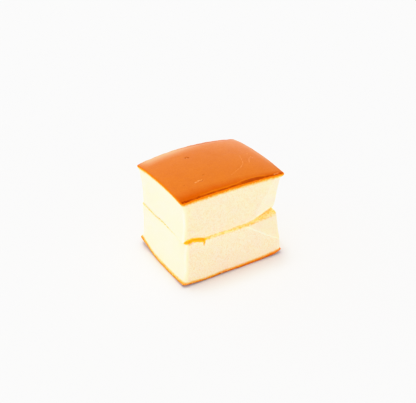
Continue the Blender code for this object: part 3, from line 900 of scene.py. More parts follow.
class Net:
    """Adds nodes to a tree and joins them up."""

    def __init__(self, tree):
        self.tree = tree

    def feed(self, node, values):
        """Gives a node's inputs, by name or number, the sockets or plain values that they take."""
        for slot, value in values.items():
            if isinstance(value, bpy.types.NodeSocket):
                self.tree.links.new(value, node.inputs[slot])
            else:
                node.inputs[slot].default_value = value

    def add(self, kind, values=None, output=0, **settings):
        """A new node's output."""
        node = self.tree.nodes.new(kind)
        for key, value in settings.items():
            setattr(node, key, value)
        self.feed(node, values or {})
        return node.outputs[output]

    def math(self, operation, a, b=0.0, c=0.0):
        return self.add("ShaderNodeMath", {0: a, 1: b, 2: c}, operation=operation)

    def plus(self, a, b):
        return self.math("ADD", a, b)

    def minus(self, a, b):
        return self.math("SUBTRACT", a, b)

    def times(self, product, *factors):
        for factor in factors:
            product = self.math("MULTIPLY", product, factor)
        return product

    def times_plus(self, a, b, c):
        return self.math("MULTIPLY_ADD", a, b, c)

    def larger(self, a, b):
        return self.math("MAXIMUM", a, b)

    def smooth(self, value, start, end, low=0.0, high=1.0):
        """low up to start and high from end on, with a smooth change between them."""
        values = {0: value, 1: start, 2: end, 3: low, 4: high}
        return self.add("ShaderNodeMapRange", values, interpolation_type="SMOOTHSTEP")

    def between(self, value, stops):
        """0 outside the first and last of four stops, and 1 between the middle two."""
        return self.times(self.smooth(value, *stops[:2]), self.smooth(value, stops[3], stops[2]))

    def level(self, value, start, end):
        """0 at start and 1 at end, with an even change between them."""
        return self.add("ShaderNodeMapRange", {0: value, 1: start, 2: end})

    def mix(self, share, a, b):
        return self.add("ShaderNodeMix", {0: share, 2: a, 3: b}, data_type="FLOAT")

    def mix_colour(self, share, a, b, blend="MIX"):
        values = {0: share, 6: a, 7: b}
        return self.add("ShaderNodeMix", values, output=2, data_type="RGBA", blend_type=blend)

    def stretched(self, place, factors):
        return self.add("ShaderNodeVectorMath", {0: place, 1: factors}, operation="MULTIPLY")

    def scaled(self, vector, factor):
        return self.add("ShaderNodeVectorMath", {0: vector, 3: factor}, operation="SCALE")

    def noise(self, place, pattern):
        """Noise from 0 to 1 in the given pattern."""
        if pattern.squeeze:
            place = self.stretched(place, pattern.squeeze)
        return self.add("ShaderNodeTexNoise", {
            "Vector": place, "Scale": 1 / pattern.size, "Detail": pattern.detail,
            "Roughness": pattern.roughness})

    def drift(self, place, pattern, amount=None):
        """That noise, moved to lie as much below zero as above, times its amount or the one given."""
        centred = self.minus(self.noise(place, pattern), 0.5)
        return self.times(centred, pattern.amount if amount is None else amount)

    def patches(self, place, pattern):
        """That noise, sharpened into patches."""
        return self.smooth(self.noise(place, pattern), *pattern.spread)

    def ragged(self, place, value, pattern, start, end):
        """value with drift added, which sets in from start to end."""
        return self.times_plus(self.drift(place, pattern), self.smooth(value, start, end), value)

    def stored(self, name):
        """A named value of the mesh, in a shader."""
        return self.add("ShaderNodeAttribute", output=2, attribute_name=name)

    def field(self, name, kind="FLOAT"):
        """A named value of the mesh, in geometry nodes."""
        return self.add("GeometryNodeInputNamedAttribute", {0: name}, data_type=kind)


def new_tree(name, inputs):
    """A geometry node tree with the given inputs, and the sockets that bring them in."""
    tree = bpy.data.node_groups.new(name, "GeometryNodeTree")
    tree.interface.new_socket("Geometry", in_out="OUTPUT", socket_type="NodeSocketGeometry")
    tree.interface.new_socket("Geometry", in_out="INPUT", socket_type="NodeSocketGeometry")
    for label, kind in inputs.items():
        tree.interface.new_socket(label, in_out="INPUT", socket_type="NodeSocket" + kind)
    return tree, Net(tree), tree.nodes.new("NodeGroupInput").outputs


def pore_field(net, place, spacing, smallest, largest, share):
    """1 in the middle of each pore and 0 between pores. share is how many cells have one."""
    values = {"Vector": place, "Scale": net.math("DIVIDE", 1.0, spacing), "Randomness": 1.0}
    distance = net.add("ShaderNodeTexVoronoi", values)
    chance = net.add("ShaderNodeSeparateXYZ", {0: distance.node.outputs["Color"]})
    width = net.mix(chance, smallest, largest)
    pore = net.smooth(distance, width, net.times(width, PORE_MIDDLE))
    there = net.math("LESS_THAN", chance.node.outputs[1], share)
    return net.times(pore, there)


def pressed_pores(net, given, place):
    """Fine pores and larger holes in the open crumb, and how far they push the face out."""
    open_crumb = net.minus(1.0, net.times(net.field("pressed"), PRESSED_SHUT))
    porous = net.times(open_crumb, net.smooth(net.field("rim_mm"), *POROUS))
    tall = net.stretched(place, PORE_STRETCH)
    pores = net.times(porous, pore_field(net, tall, given["Pore Spacing"], *FINE_PORES))
    holes = net.times(porous, pore_field(net, tall, given["Hole Spacing"], *HOLES))
    push = net.times(pores, net.times(given["Pore Depth"], -1.0))
    push = net.minus(push, net.times(holes, given["Hole Depth"]))
    return net.larger(pores, holes), push


def uneven_faces(net, given, place, push):
    """Adds the swell of the cut faces, their ragged edges and the crust's wrinkles to a push."""
    rim = net.field("rim_mm")
    swell = net.drift(place, SWELLING, net.smooth(rim, *SWELL_FADES))
    push = net.times_plus(swell, given["Swell"], push)
    by_seam = net.smooth(net.field("seam_mm"), *RAGGED_SEAM)
    ragged = net.drift(place, RAGGED_EDGES, net.larger(net.between(rim, RAGGED_RIM), by_seam))
    push = net.times_plus(ragged, given["Fringe"], push)
    grain = net.drift(place, WRINKLES, net.smooth(rim, *WRINKLED))
    return net.times_plus(grain, given["Crust Grain"], push)


def relief_tree():
    """Presses pores, grain and rough edges into a slab, along its normals."""
    tree, net, given = new_tree("sponge_relief", {
        "Pore Spacing": "Float", "Pore Depth": "Float", "Hole Spacing": "Float",
        "Hole Depth": "Float", "Swell": "Float", "Fringe": "Float", "Crust Grain": "Float",
        "Crumb": "Material", "Crust": "Material",
    })
    place = net.add("GeometryNodeInputPosition")
    pore, push = pressed_pores(net, given, place)
    push = uneven_faces(net, given, place, push)
    inward = net.times(net.math("MINIMUM", push, 0.0), HIDDEN_PUSH)
    push = net.mix(net.field("free"), inward, push)
    geometry = net.add("GeometryNodeStoreNamedAttribute", {
        "Geometry": given["Geometry"], "Name": "pore", "Value": pore},
        data_type="FLOAT", domain="POINT")
    offset = net.scaled(net.add("GeometryNodeInputNormal"), push)
    geometry = net.add("GeometryNodeSetPosition", {"Geometry": geometry, "Offset": offset})
    geometry = net.add("GeometryNodeRealizeInstances", {0: geometry})
    geometry = net.add("GeometryNodeSetMaterial", {
        "Geometry": geometry, "Material": given["Crumb"]})
    geometry = net.add("GeometryNodeSetMaterial", {
        "Geometry": geometry, "Selection": net.field("on_crust", "BOOLEAN"),
        "Material": given["Crust"]})
    tree.links.new(geometry, tree.nodes.new("NodeGroupOutput").inputs[0])
    return tree


def random_lump(net, given):
    """The turn and the scale of a crumb, drawn at random."""
    turn = net.add("FunctionNodeRandomValue", {
        0: (0.0, 0.0, 0.0), 1: (math.tau,) * 3, "Seed": 1}, data_type="FLOAT_VECTOR")
    size = net.add("FunctionNodeRandomValue", {
        2: given["Smallest"], 3: given["Largest"], "Seed": 2}, output=1, data_type="FLOAT")
    shape = net.add("FunctionNodeRandomValue", {
        0: CRUMB_SHAPES[0], 1: CRUMB_SHAPES[1], "Seed": 3}, data_type="FLOAT_VECTOR")
    return turn, net.scaled(shape, size)


def scatter_tree():
    """Replaces a mesh by the crumbs that lie on it, thickest where its shed value is high."""
    tree, net, given = new_tree("loose_crumbs", {
        "Density": "Float", "Smallest": "Float", "Largest": "Float", "Seed": "Int",
        "Crumb": "Material",
    })
    points = net.add("GeometryNodeDistributePointsOnFaces", {
        "Mesh": given["Geometry"], "Seed": given["Seed"],
        "Density": net.times(net.field("shed"), given["Density"])})
    lump = net.add("GeometryNodeMeshIcoSphere", {"Radius": 0.5, "Subdivisions": 1})
    turn, scale = random_lump(net, given)
    crumbs = net.add("GeometryNodeInstanceOnPoints", {
        "Points": points, "Instance": lump, "Rotation": turn, "Scale": scale})
    crumbs = net.add("GeometryNodeRealizeInstances", {0: crumbs})
    jolt = net.add("ShaderNodeTexNoise", {
        "Vector": net.add("GeometryNodeInputPosition"), "Scale": 1 / CRUMB_JOLT_SIZE}, output=1)
    jolt = net.add("ShaderNodeVectorMath", {0: jolt, 1: (0.5, 0.5, 0.5)}, operation="SUBTRACT")
    jolt = net.scaled(jolt, net.times(given["Largest"], CRUMB_JOLT))
    crumbs = net.add("GeometryNodeSetPosition", {"Geometry": crumbs, "Offset": jolt})
    crumbs = net.add("GeometryNodeSetMaterial", {
        "Geometry": crumbs, "Material": given["Crumb"]})
    tree.links.new(crumbs, tree.nodes.new("NodeGroupOutput").inputs[0])
    return tree


def through_nodes(obj, tree, values):
    """Runs obj through a node tree and leaves it a plain mesh."""
    modifier = obj.modifiers.new(tree.name, "NODES")
    modifier.node_group = tree
    for socket in tree.interface.items_tree:
        if socket.in_out == "INPUT" and socket.name in values:
            modifier[socket.identifier] = values[socket.name]
    depsgraph = bpy.context.evaluated_depsgraph_get()
    mesh = bpy.data.meshes.new_from_object(
        obj.evaluated_get(depsgraph), preserve_all_data_layers=True, depsgraph=depsgraph)
    obj.modifiers.clear()
    old, obj.data = obj.data, mesh
    bpy.data.meshes.remove(old)
    mesh.name = obj.name
    return obj


def new_material(name):
    """A material, the net of its nodes and its shader."""
    material = bpy.data.materials.new(name)
    material.use_nodes = True
    return material, Net(material.node_tree), material.node_tree.nodes["Principled BSDF"]


def colour_ramp(net, value, stops):
    """A colour that follows value, from 0 to 1, through (place, colour) stops."""
    colour = net.add("ShaderNodeValToRGB", {0: value})
    elements = colour.node.color_ramp.elements
    while len(elements) < len(stops):
        elements.new(0.5)
    for element, (place, tint) in zip(elements, stops):
        element.position = place
        element.color = tint
    return colour


def crumb_colour(net, place, crumb):
    """Cut crumb: mottled at the front, paler and smoother at the left, where its colour is painted for
    the stronger light, with painted highlights and painted shade in the pores.
    """
    mottle = net.patches(place, CRUMB_MOTTLE)
    colour = net.mix_colour(mottle, crumb.shade_colour, crumb.open_colour)
    colour = net.mix_colour(net.stored("pressed"), colour, crumb.pressed_colour)
    # Painted light: the left wall takes a colour tuned for the stronger light that falls on it.
    colour = net.mix_colour(net.stored("pale"), colour, crumb.painted_light_colour)
    # Painted highlights down the front left corner and along the facets' ridges.
    colour = net.mix_colour(net.stored("ridge"), colour, crumb.ridge_highlight_colour)
    # Painted shade inside the pores.
    return net.mix_colour(net.times(net.stored("pore"), PORE_SHADE), colour, crumb.pore_shade_colour)


def seam_colour(net, place, crumb, colour):
    """The crumb's colour, turned golden along the seam, partly as painted shade, with painted shade in
    the creases, toasted specks, and painted shade in the torn gap.
    """
    # The seam's gold is partly painted shade in the crevice; marks add painted shade in the creases and
    # toasted specks.
    golden = net.ragged(place, net.stored("golden"), SEAM_EDGE, *GOLD_RAGGED)
    golden = net.larger(net.smooth(golden, *GOLD_SHOWS), mark_share(net, place, -1.0))
    gold = net.mix_colour(
        net.patches(place, SEAM_BLOTCHES), crumb.seam_colour, crumb.blotch_colour)
    colour = net.mix_colour(golden, colour, gold)
    # Painted shade inside the torn gap and deep in the seam's crevice.
    return net.mix_colour(deep_share(net, place), colour, crumb.gap_shade_colour)


def deep_share(net, place):
    """How much a point takes the painted shade of the torn gap, with a ragged edge."""
    return net.smooth(net.ragged(place, net.stored("deep"), GAP_EDGE, *GAP_RAGGED), *GAP_SHOWS)


def painted_glow(net, place, crumb):
    """A painted glow in the seam and the gap: emitted light that stands in for light through the crumb,
    where little else comes in.
    """
    seam_glow_mask = net.times(net.stored("lit_seam"), net.patches(place, SEAM_PATCHES))
    light = net.mix_colour(seam_glow_mask, (0.0, 0.0, 0.0, 1.0), crumb.seam_painted_glow)
    return net.mix_colour(deep_share(net, place), light, crumb.gap_painted_glow)


def mark_share(net, place, sign):
    """How strongly marks of one kind show at a point: bruises for -1, scuffs for 1."""
    off = net.plus(net.stored("mark_off"), net.drift(place, MARK_RAGGED))
    tone = net.larger(net.times(net.stored("mark_tone"), sign), 0.0)
    strength = net.times(tone, net.patches(place, MARK_FADING))
    return net.times(net.smooth(off, *MARK_SHOWS), strength)


def band_share(net, place):
    """How strongly the skin is darker and redder, where it rolls over at the front and left: partly
    deeper browning, partly painted shade.
    """
    return net.level(net.ragged(place, net.stored("band"), BAND_DRIFT, *BAND_RAGGED), *BAND_SHOWS)


def skin_colour(net, place, crust):
    """The browned skin: faintly mottled, darker and redder where it rolls over, partly as painted shade,
    and with painted sheen in two paler patches.
    """
    grain = net.drift(place, SKIN_MOTTLE)
    tone = net.plus(net.plus(net.drift(place, SKIN_CLOUDS), grain), 0.5)
    mottle = net.level(tone, *MOTTLE_SHOWS)
    colour = net.mix_colour(mottle, crust.low_colour, crust.high_colour)
    rolled = net.scaled(crust.roll_colour[:3], net.times_plus(grain, ROLL_GRAIN, 1.0))
    # Darker where the skin rolls over: partly deeper browning, partly painted shade.
    colour = net.mix_colour(band_share(net, place), colour, rolled)
    # Painted sheen, mixed into the skin's colour in two paler patches.
    return net.mix_colour(net.stored("bleached"), colour, crust.bleached_colour)


def rim_line(net, place):
    """How strongly the dark line just inside the rim shows, partly darker browning and partly painted
    shade where the crust curls down, and the paler thread beside it.
    """
    thick = net.stored("thick")
    wander = net.plus(net.drift(place, LINE_WANDER), net.drift(place, LINE_TREMBLE))
    run = net.plus(net.stored("rim_mm"), wander)
    inner = net.times_plus(thick, LINE_THICKER, LINE_INNER)
    line = net.smooth(run, net.plus(inner, LINE_SOFTNESS), inner)
    line = net.times(line, net.smooth(run, *LINE_OUTER))
    weight = net.larger(net.patches(place, LINE_WEIGHT), net.times(thick, THICK_WEIGHT))
    beside = net.math("ABSOLUTE", net.minus(net.minus(run, inner), THREAD_OFF))
    thread = net.times(net.smooth(beside, *THREAD_HALF), net.stored("thread"))
    return net.times(line, weight, net.stored("darkness")), thread


def crust_colour(net, place, crust):
    """The skin with its rim line and thread, and the bruises and scuffs on it."""
    line, thread = rim_line(net, place)
    colour = net.mix_colour(thread, skin_colour(net, place, crust), crust.high_colour)
    # The rim line: partly darker browning, partly painted shade where the crust curls down.
    colour = net.mix_colour(line, colour, crust.line_colour)
    colour = net.mix_colour(mark_share(net, place, -1.0), colour, crust.bruise_colour)
    return net.mix_colour(mark_share(net, place, 1.0), colour, crust.scuff_colour)


def fringe_colour(net, place, crust):
    """The cut edge of the crust and the gold below it, and how much of a point that covers."""
    brown = net.stored("brown_mm")
    drift = net.plus(net.drift(place, FRINGE_TEETH), net.drift(place, FRINGE_DRIFT))
    run = net.plus(brown, net.times(drift, net.smooth(brown, *FRINGE_RAGGED)))
    pale, gold, orange = FRINGE_TURNS
    colour = colour_ramp(net, net.level(run, *FRINGE_RUN), (
        (0.0, crust.pale_fringe), (pale, crust.pale_fringe), (gold, crust.gold_fringe),
        (orange, crust.orange_rim), (1.0, crust.orange_rim)))
    return colour, net.smooth(run, *FRINGE_FADES)


def sponge_colour(net, place, looks):
    """The colour of crust, fringe and crumb, and how much of a point is crust."""
    crumb = seam_colour(net, place, looks.crumb, crumb_colour(net, place, looks.crumb))
    fringe, fringe_share = fringe_colour(net, place, looks.crust)
    colour = net.mix_colour(fringe_share, crumb, fringe)
    skin = net.plus(net.stored("skin_mm"), net.drift(place, SKIN_EDGE))
    crusty = net.smooth(skin, *SKIN_FADES)
    return net.mix_colour(crusty, colour, crust_colour(net, place, looks.crust)), crusty


def crust_sheen(net, place, crusty, gloss):
    """The crust's patchy shine, duller where it rolls over and where it is bruised."""
    flat = net.times_plus(band_share(net, place), -ROLL_DULLNESS, 1.0)
    whole = net.minus(1.0, mark_share(net, place, -1.0))
    patches = net.times_plus(net.noise(place, SKIN_SHINE), *SHEEN_PATCHES)
    return net.times(flat, whole, crusty, gloss, patches)


def sponge_material(name, looks, subsurface):
    """Crust and crumb in one finish, so that they run into each other as the browning fades."""
    material, net, shader = new_material(name)
    place = net.add("ShaderNodeTexCoord", output=3)
    colour, crusty = sponge_colour(net, place, looks)
    grain = net.mix(crusty, looks.crumb.bump, looks.crust.bump)
    height = net.times(net.noise(place, CRUMB_GRAIN), grain)
    bump = net.add("ShaderNodeBump", {"Height": height, "Strength": 1.0, "Distance": 1.0})
    net.feed(shader, {
        "Base Color": colour, "Roughness": looks.crumb.roughness, "Normal": bump,
        "Specular IOR Level": 0.0, "Subsurface Weight": subsurface,
        "Subsurface Radius": SCATTER_TINT, "Subsurface Scale": looks.crumb.scatter,
        "Coat Weight": crust_sheen(net, place, crusty, looks.crust.gloss),
        "Coat Roughness": looks.crust.roughness, "Coat IOR": COAT_IOR, "Coat Normal": bump,
        # The emission is a painted glow in the seam and the gap.
        "Emission Color": painted_glow(net, place, looks.crumb), "Emission Strength": 1.0,
    })
    return material


def shared_material(name, looks, subsurface):
    """The material of that name, made the first time that it is asked for."""
    return bpy.data.materials.get(name) or sponge_material(name, looks, subsurface)


def link(name, mesh):
    obj = bpy.data.objects.new(name, mesh)
    bpy.context.scene.collection.objects.link(obj)
    return obj


def make_slab(slab, looks):
    """One slab of sponge, which stands for its solid."""
    obj = through_nodes(link(slab.name, slab_mesh(slab, looks.crumb.cell)), relief_tree(), {
        "Pore Spacing": looks.crumb.pore_spacing, "Pore Depth": looks.crumb.pore_depth,
        "Hole Spacing": looks.crumb.hole_spacing, "Hole Depth": looks.crumb.hole_depth,
        "Swell": looks.crumb.swell, "Fringe": looks.crumb.fringe,
        "Crust Grain": looks.crust.grain,
        "Crumb": shared_material("chiffon_crumb", looks, looks.crumb.translucency),
        "Crust": shared_material("browned_crust", looks, 0.0),
    })
    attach(obj, "root")
    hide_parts(slab.node)


def loose_material(loose):
    """Toasted crumbs, some paler than others."""
    material, net, shader = new_material("loose_crumb")
    place = net.add("ShaderNodeTexCoord", output=3)
    colour = net.mix_colour(
        net.patches(place, TOASTING), loose.pale_crumb, loose.toasted_crumb)
    net.feed(shader, {"Base Color": colour, "Roughness": 1.0, "Specular IOR Level": 0.0})
    return material


def shedding(mesh):
    """How thickly crumbs lie at each point: under the crusts and along the seam."""
    fields = {}
    for name in ("rim_mm", "seam_mm", "deep", "pressed", "free", "darkness"):
        fields[name] = np.zeros(len(mesh.vertices), np.float32)
        mesh.attributes[name].data.foreach_get("value", fields[name])
    rim, seam_run = fields["rim_mm"], fields["seam_mm"]
    thickness = SHED_AT_LEAST + (1 - SHED_AT_LEAST) * fields["darkness"]
    under_rim = between(rim, SHED_UNDER_RIM) * thickness
    along_seam = SHED_BY_SEAM * between(seam_run, SHED_ALONG_SEAM)
    along_seam = along_seam * (SHED_ON_OPEN - fields["pressed"])
    bare = (fields["deep"] >= SHED_DEEPEST) | (seam_run < SHED_INNERMOST)
    bare = bare | ((fields["free"] < 0.5) & (rim > 0))
    return np.where(bare, 0.0, np.maximum(under_rim, along_seam))


def make_loose_crumbs(looks):
    """The crumbs that cling under the crusts and along the seam."""
    material = loose_material(looks.loose)
    for slab, name in ((UPPER, "upper_crumbs"), (LOWER, "lower_crumbs")):
        mesh = bpy.data.objects[slab.name].data.copy()
        attribute = mesh.attributes.new("shed", "FLOAT", "POINT")
        attribute.data.foreach_set("value", shedding(mesh).astype(np.float32))
        crumbs = through_nodes(link(name, mesh), scatter_tree(), {
            "Density": looks.loose.density, "Smallest": looks.loose.smallest,
            "Largest": looks.loose.largest, "Seed": looks.loose.seed, "Crumb": material,
        })
        crumbs.data.shade_smooth()
        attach(crumbs, "root")


def make_floor(stage):
    """A round floor, just under the cake."""
    material, net, shader = new_material("pale_floor")
    net.feed(shader, {
        "Base Color": (*stage.floor_colour, 1.0), "Roughness": 1.0, "Specular IOR Level": 0.0})
    radius = stage.floor_radius
    turns = [math.tau * k / FLOOR_SIDES for k in range(FLOOR_SIDES)]
    points = [(radius * math.cos(a), radius * math.sin(a), -FLOOR_DROP) for a in turns]
    mesh = bpy.data.meshes.new("floor")
    mesh.from_pydata(points, [], [tuple(range(FLOOR_SIDES))])
    mesh.materials.append(material)
    link("floor", mesh)


def make_world(stage):
    """Light from all round: bright at the horizon, softer overhead and brighter at the left."""
    world = bpy.data.worlds.new("studio")
    bpy.context.scene.world = world
    world.use_nodes = True
    net = Net(world.node_tree)
    direction = net.add("ShaderNodeTexCoord", output=0)
    across = net.add("ShaderNodeSeparateXYZ", {0: direction})
    height = across.node.outputs[2]
    horizon, zenith = ((*[c * level for c in stage.sky_colour], 1.0)
                       for level in (stage.horizon, stage.zenith))
    light = net.mix_colour(net.smooth(height, *stage.fade), horizon, zenith)
    light = net.scaled(light, net.times_plus(across, -stage.side, 1.0))
    rays = net.add("ShaderNodeLightPath").node.outputs
    warm = net.mix_colour(rays["Is Glossy Ray"], light, stage.warm_tint, blend="MULTIPLY")
    colour = net.mix_colour(rays["Is Camera Ray"], warm, (*stage.backdrop_colour, 1.0))
    net.feed(world.node_tree.nodes["Background"], {"Color": colour, "Strength": 1.0})


def make_lamp(stage):
    """One broad soft lamp, behind and to the left."""
    sun = bpy.data.lights.new("soft_lamp", "SUN")
    sun.energy = stage.lamp
    sun.angle = stage.lamp_angle
    sun.color = stage.lamp_colour
    lamp = link("soft_lamp", sun)
    lamp.rotation_euler = Vector(stage.lamp_from).to_track_quat("Z", "Y").to_euler()


def set_tone(view):
    """Rolls the brightest tones off softly, as in a picture taken on a bright white table."""
    view.view_transform = "Standard"
    view.use_curve_mapping = True
    mapping = view.curve_mapping
    mapping.white_level = (TONE_CURVE[-1][0],) * 3
    points = mapping.curves[3].points
    points[-1].location = (1.0, TONE_CURVE[-1][1])
    for light, shown in TONE_CURVE[1:-1]:
        points.new(light / TONE_CURVE[-1][0], shown)
    mapping.update()


def make_camera(stage):
    """A camera that looks at the cake from its front left, a little from above."""
    back = Vector((
        math.sin(stage.azimuth) * math.cos(stage.elevation),
        -math.cos(stage.azimuth) * math.cos(stage.elevation),
        math.sin(stage.elevation),
    ))
    right = Vector((math.cos(stage.azimuth), math.sin(stage.azimuth), 0.0))
    up = back.cross(right)
    roll = stage.roll
    across = right * math.cos(roll) + up * math.sin(roll)
    upright = up * math.cos(roll) - right * math.sin(roll)
    camera = link("camera", bpy.data.cameras.new("camera"))
    matrix = Matrix((across, upright, back)).transposed().to_4x4()
    matrix.translation = back * stage.distance + Vector(stage.target)
    camera.matrix_world = matrix
    camera.data.sensor_width = SENSOR_WIDTH
    camera.data.lens = stage.lens
    camera.data.shift_x, camera.data.shift_y = stage.shift
    bpy.context.scene.camera = camera


def length_prop(name, description, default, **limits):
    return FloatProperty(
        name=name, description=description, default=default, subtype="DISTANCE", unit="LENGTH",
        **limits)


def share_prop(name, description, default):
    return FloatProperty(name=name, description=description, default=default, subtype="FACTOR")


def angle_prop(name, description, degrees):
    return FloatProperty(
        name=name, description=description, default=math.radians(degrees), subtype="ANGLE",
        unit="ROTATION")


def colour_prop(name, description, *default):
    return FloatVectorProperty(
        name=name, description=description, default=default, size=len(default), subtype="COLOR")


class CrumbSettings(bpy.types.PropertyGroup):
    """The pale inside of the sponge."""

    cell: length_prop("Cell", "Edge of one cell of the mesh", 0.00044, min=0.0002)
    pore_spacing: length_prop("Pore spacing", "Distance between fine pores", 0.0012)
    pore_depth: length_prop("Pore depth", "Depth of the fine pores", 0.00012)
    hole_spacing: length_prop("Hole spacing", "Distance between the larger holes", 0.0042)
    hole_depth: length_prop("Hole depth", "Depth of the larger holes", 0.00030)
    swell: length_prop("Swell", "Slow unevenness of the cut faces", 0.00035)
    fringe: length_prop(
        "Ragged edge", "Roughness of the crumb under a crust and along the seam", 0.00050)
    open_colour: colour_prop("Open crumb", "Colour of the cut crumb", 0.98, 0.748, 0.565, 1.0)
    shade_colour: colour_prop(
        "Crumb mottle", "Darker colour that mottles the cut crumb", 0.98, 0.62, 0.34, 1.0)
    pressed_colour: colour_prop(
        "Smooth crumb", "Colour where the cut was clean", 0.975, 0.74, 0.51, 1.0)
    # Painted light: the crumb colour of the brightly lit left wall.
    painted_light_colour: colour_prop(
        "Pale crumb", "Colour where the cut face is palest", 0.94, 0.75, 0.525, 1.0)
    # Painted highlight: the paler colour down the front left corner and along the facets' ridges, partly
    # pressed crumb.
    ridge_highlight_colour: colour_prop(
        "Pale lines", "Colour of the front left corner and of the facets' ridges", 0.95, 0.84, 0.66, 1.0)
    # Painted shade: the darker colour painted inside the pores.
    pore_shade_colour: colour_prop("Pores", "Colour inside the pores", 0.94, 0.62, 0.28, 1.0)
    # Partly the yellower skin along the seam, partly painted shade in the crevice.
    seam_colour: colour_prop("Seam", "Colour of the crumb along the seam", 1.0, 0.70, 0.36, 1.0)
    blotch_colour: colour_prop(
        "Seam blotches", "Deeper gold that mottles the seam", 1.0, 0.51, 0.09, 1.0)
    # Painted shade: the deep gold painted inside the torn gap.
    gap_shade_colour: colour_prop("Gap", "Colour inside the torn gap", 1.0, 0.40, 0.015, 1.0)
    # Painted glow: emitted light along the seam, standing in for light through the crumb.
    seam_painted_glow: colour_prop(
        "Light in the seam", "Light that seeps through the crumb along the seam", 0.45, 0.12, 0.01, 1.0)
    # Painted glow: emitted light in the torn gap, standing in for light through the crumb.
    gap_painted_glow: colour_prop(
        "Light in the gap", "Light that seeps through the crumb into the torn gap",
        0.70, 0.165, 0.005, 1.0)
    roughness: share_prop("Roughness", "Roughness of the crumb", 0.9)
    bump: length_prop("Fine grain", "Height of the finest grain", 0.00010)
    translucency: share_prop("Translucency", "Share of light that passes through the crumb", 1.0)
    scatter: length_prop("Scatter", "How far red light wanders inside the crumb", 0.004)


class CrustSettings(bpy.types.PropertyGroup):
    """The browned skin and the fringe where it fades into the crumb."""

    high_colour: colour_prop("Crust", "Main colour of the top crust", 0.69, 0.178, 0.003, 1.0)
    low_colour: colour_prop(
        "Crust mottle", "Darker colour that mottles the crust", 0.625, 0.134, 0.001, 1.0)
    # Partly deeper browning, partly painted shade where the top slopes down to its front edge.
    roll_colour: colour_prop(
        "Crust edge", "Colour where the crust rolls over at the front", 0.60, 0.093, 0.0, 1.0)
    # Partly darker browning, partly painted shade where the crust curls over the rim.
    line_colour: colour_prop("Rim line", "Darkest line at the rim", 0.40, 0.050, 0.001, 1.0)
    bruise_colour: colour_prop("Bruises", "Colour of nicks and gouges", 0.38, 0.036, 0.0, 1.0)
    # Painted sheen: the paler colour painted into the crust where its shine shows.
    bleached_colour: colour_prop(
        "Bleached skin", "Colour of the crust where it is bleached", 0.72, 0.37, 0.165, 1.0)
    scuff_colour: colour_prop("Scuffs", "Colour of pale scratches", 0.90, 0.37, 0.10, 1.0)
    orange_rim: colour_prop("Cut edge", "Colour of the crust's cut edge", 0.86, 0.185, 0.003, 1.0)
    gold_fringe: colour_prop("Gold fringe", "Colour just under the crust", 0.92, 0.38, 0.03, 1.0)
    pale_fringe: colour_prop(
        "Pale fringe", "Colour where the browning ends", 0.94, 0.58, 0.22, 1.0)
    roughness: share_prop("Roughness", "Roughness of the crust", 0.38)
    gloss: share_prop("Gloss", "Strength of reflections", 0.85)
    grain: length_prop("Grain", "Height of the crust's fine wrinkles", 0.00006)
    bump: length_prop("Fine grain", "Height of the finest grain", 0.00003)


class LooseSettings(bpy.types.PropertyGroup):
    """Crumbs that cling to the cake."""

    density: FloatProperty(
        name="Density", description="Crumbs for each square metre where they lie thickest",
        default=450000.0, min=0.0)
    smallest: length_prop("Smallest", "Width of the smallest crumb", 0.00022)
    largest: length_prop("Largest", "Width of the largest crumb", 0.00060)
    pale_crumb: colour_prop("Pale crumbs", "Colour of the palest crumbs", 1.0, 0.72, 0.32, 1.0)
    toasted_crumb: colour_prop(
        "Toasted crumbs", "Colour of the darkest crumbs", 1.0, 0.52, 0.08, 1.0)
    seed: IntProperty(name="Seed", description="Seed of the scatter", default=7)


class StageSettings(bpy.types.PropertyGroup):
    """Floor, light and camera."""

    floor_radius: length_prop("Floor radius", "Radius of the round floor", 3.0)
    floor_colour: colour_prop("Floor", "Colour of the floor", 0.812, 0.812, 0.808)
    backdrop_colour: colour_prop("Backdrop", "Colour beyond the floor", 1.09, 1.09, 1.06)
    sky_colour: colour_prop("Sky", "Tint of the light from all round", 0.985, 1.0, 1.015)
    warm_tint: colour_prop(
        "Warm sheen", "Tint of the light that the crust mirrors", 1.0, 0.95, 0.78, 1.0)
    horizon: FloatProperty(name="Horizon", description="Light from the horizon", default=2.37)
    zenith: FloatProperty(name="Zenith", description="Light from overhead", default=0.64)
    fade: FloatVectorProperty(
        name="Fade", description="Heights between which the sky changes", default=(0.0, 0.65), size=2)
    side: share_prop("Side light", "How much brighter the left side is than the middle", 0.16)
    lamp: FloatProperty(name="Lamp", description="Strength of the soft lamp", default=1.39)
    lamp_angle: angle_prop("Lamp size", "How wide the lamp looks from the cake", 22)
    lamp_colour: colour_prop("Lamp colour", "Tint of the soft lamp", 1.0, 0.97, 0.93)
    lamp_from: FloatVectorProperty(
        name="Lamp from", description="Direction that the lamp shines from",
        default=(-0.02, 0.12, 0.99), subtype="DIRECTION")
    azimuth: angle_prop("Azimuth", "Camera's place round the cake", -31.21)
    elevation: angle_prop("Elevation", "Camera's angle above the table", 30.95)
    roll: angle_prop("Roll", "Camera's turn about its line of sight", -0.24)
    distance: length_prop("Distance", "Camera's distance from its target", 0.5436)
    target: FloatVectorProperty(
        name="Target", description="Point that the camera looks at",
        default=(0.00006, -0.00007, 0.0342), subtype="TRANSLATION")
    lens: FloatProperty(
        name="Lens", description="Focal length in millimetres", default=62.97, unit="CAMERA")
    shift: FloatVectorProperty(
        name="Shift", description="Shift of the lens", default=(-0.0051, 0.0194), size=2)


class CakeSettings(bpy.types.PropertyGroup):
    """Everything about the cake that a user may change."""

    crumb: PointerProperty(
        name="Crumb", description="The pale inside of the sponge", type=CrumbSettings)
    crust: PointerProperty(
        name="Crust", description="The browned skin and its fringe", type=CrustSettings)
    loose: PointerProperty(
        name="Loose crumbs", description="Crumbs that cling to the cake", type=LooseSettings)
    stage: PointerProperty(
        name="Stage", description="Floor, light and camera", type=StageSettings)


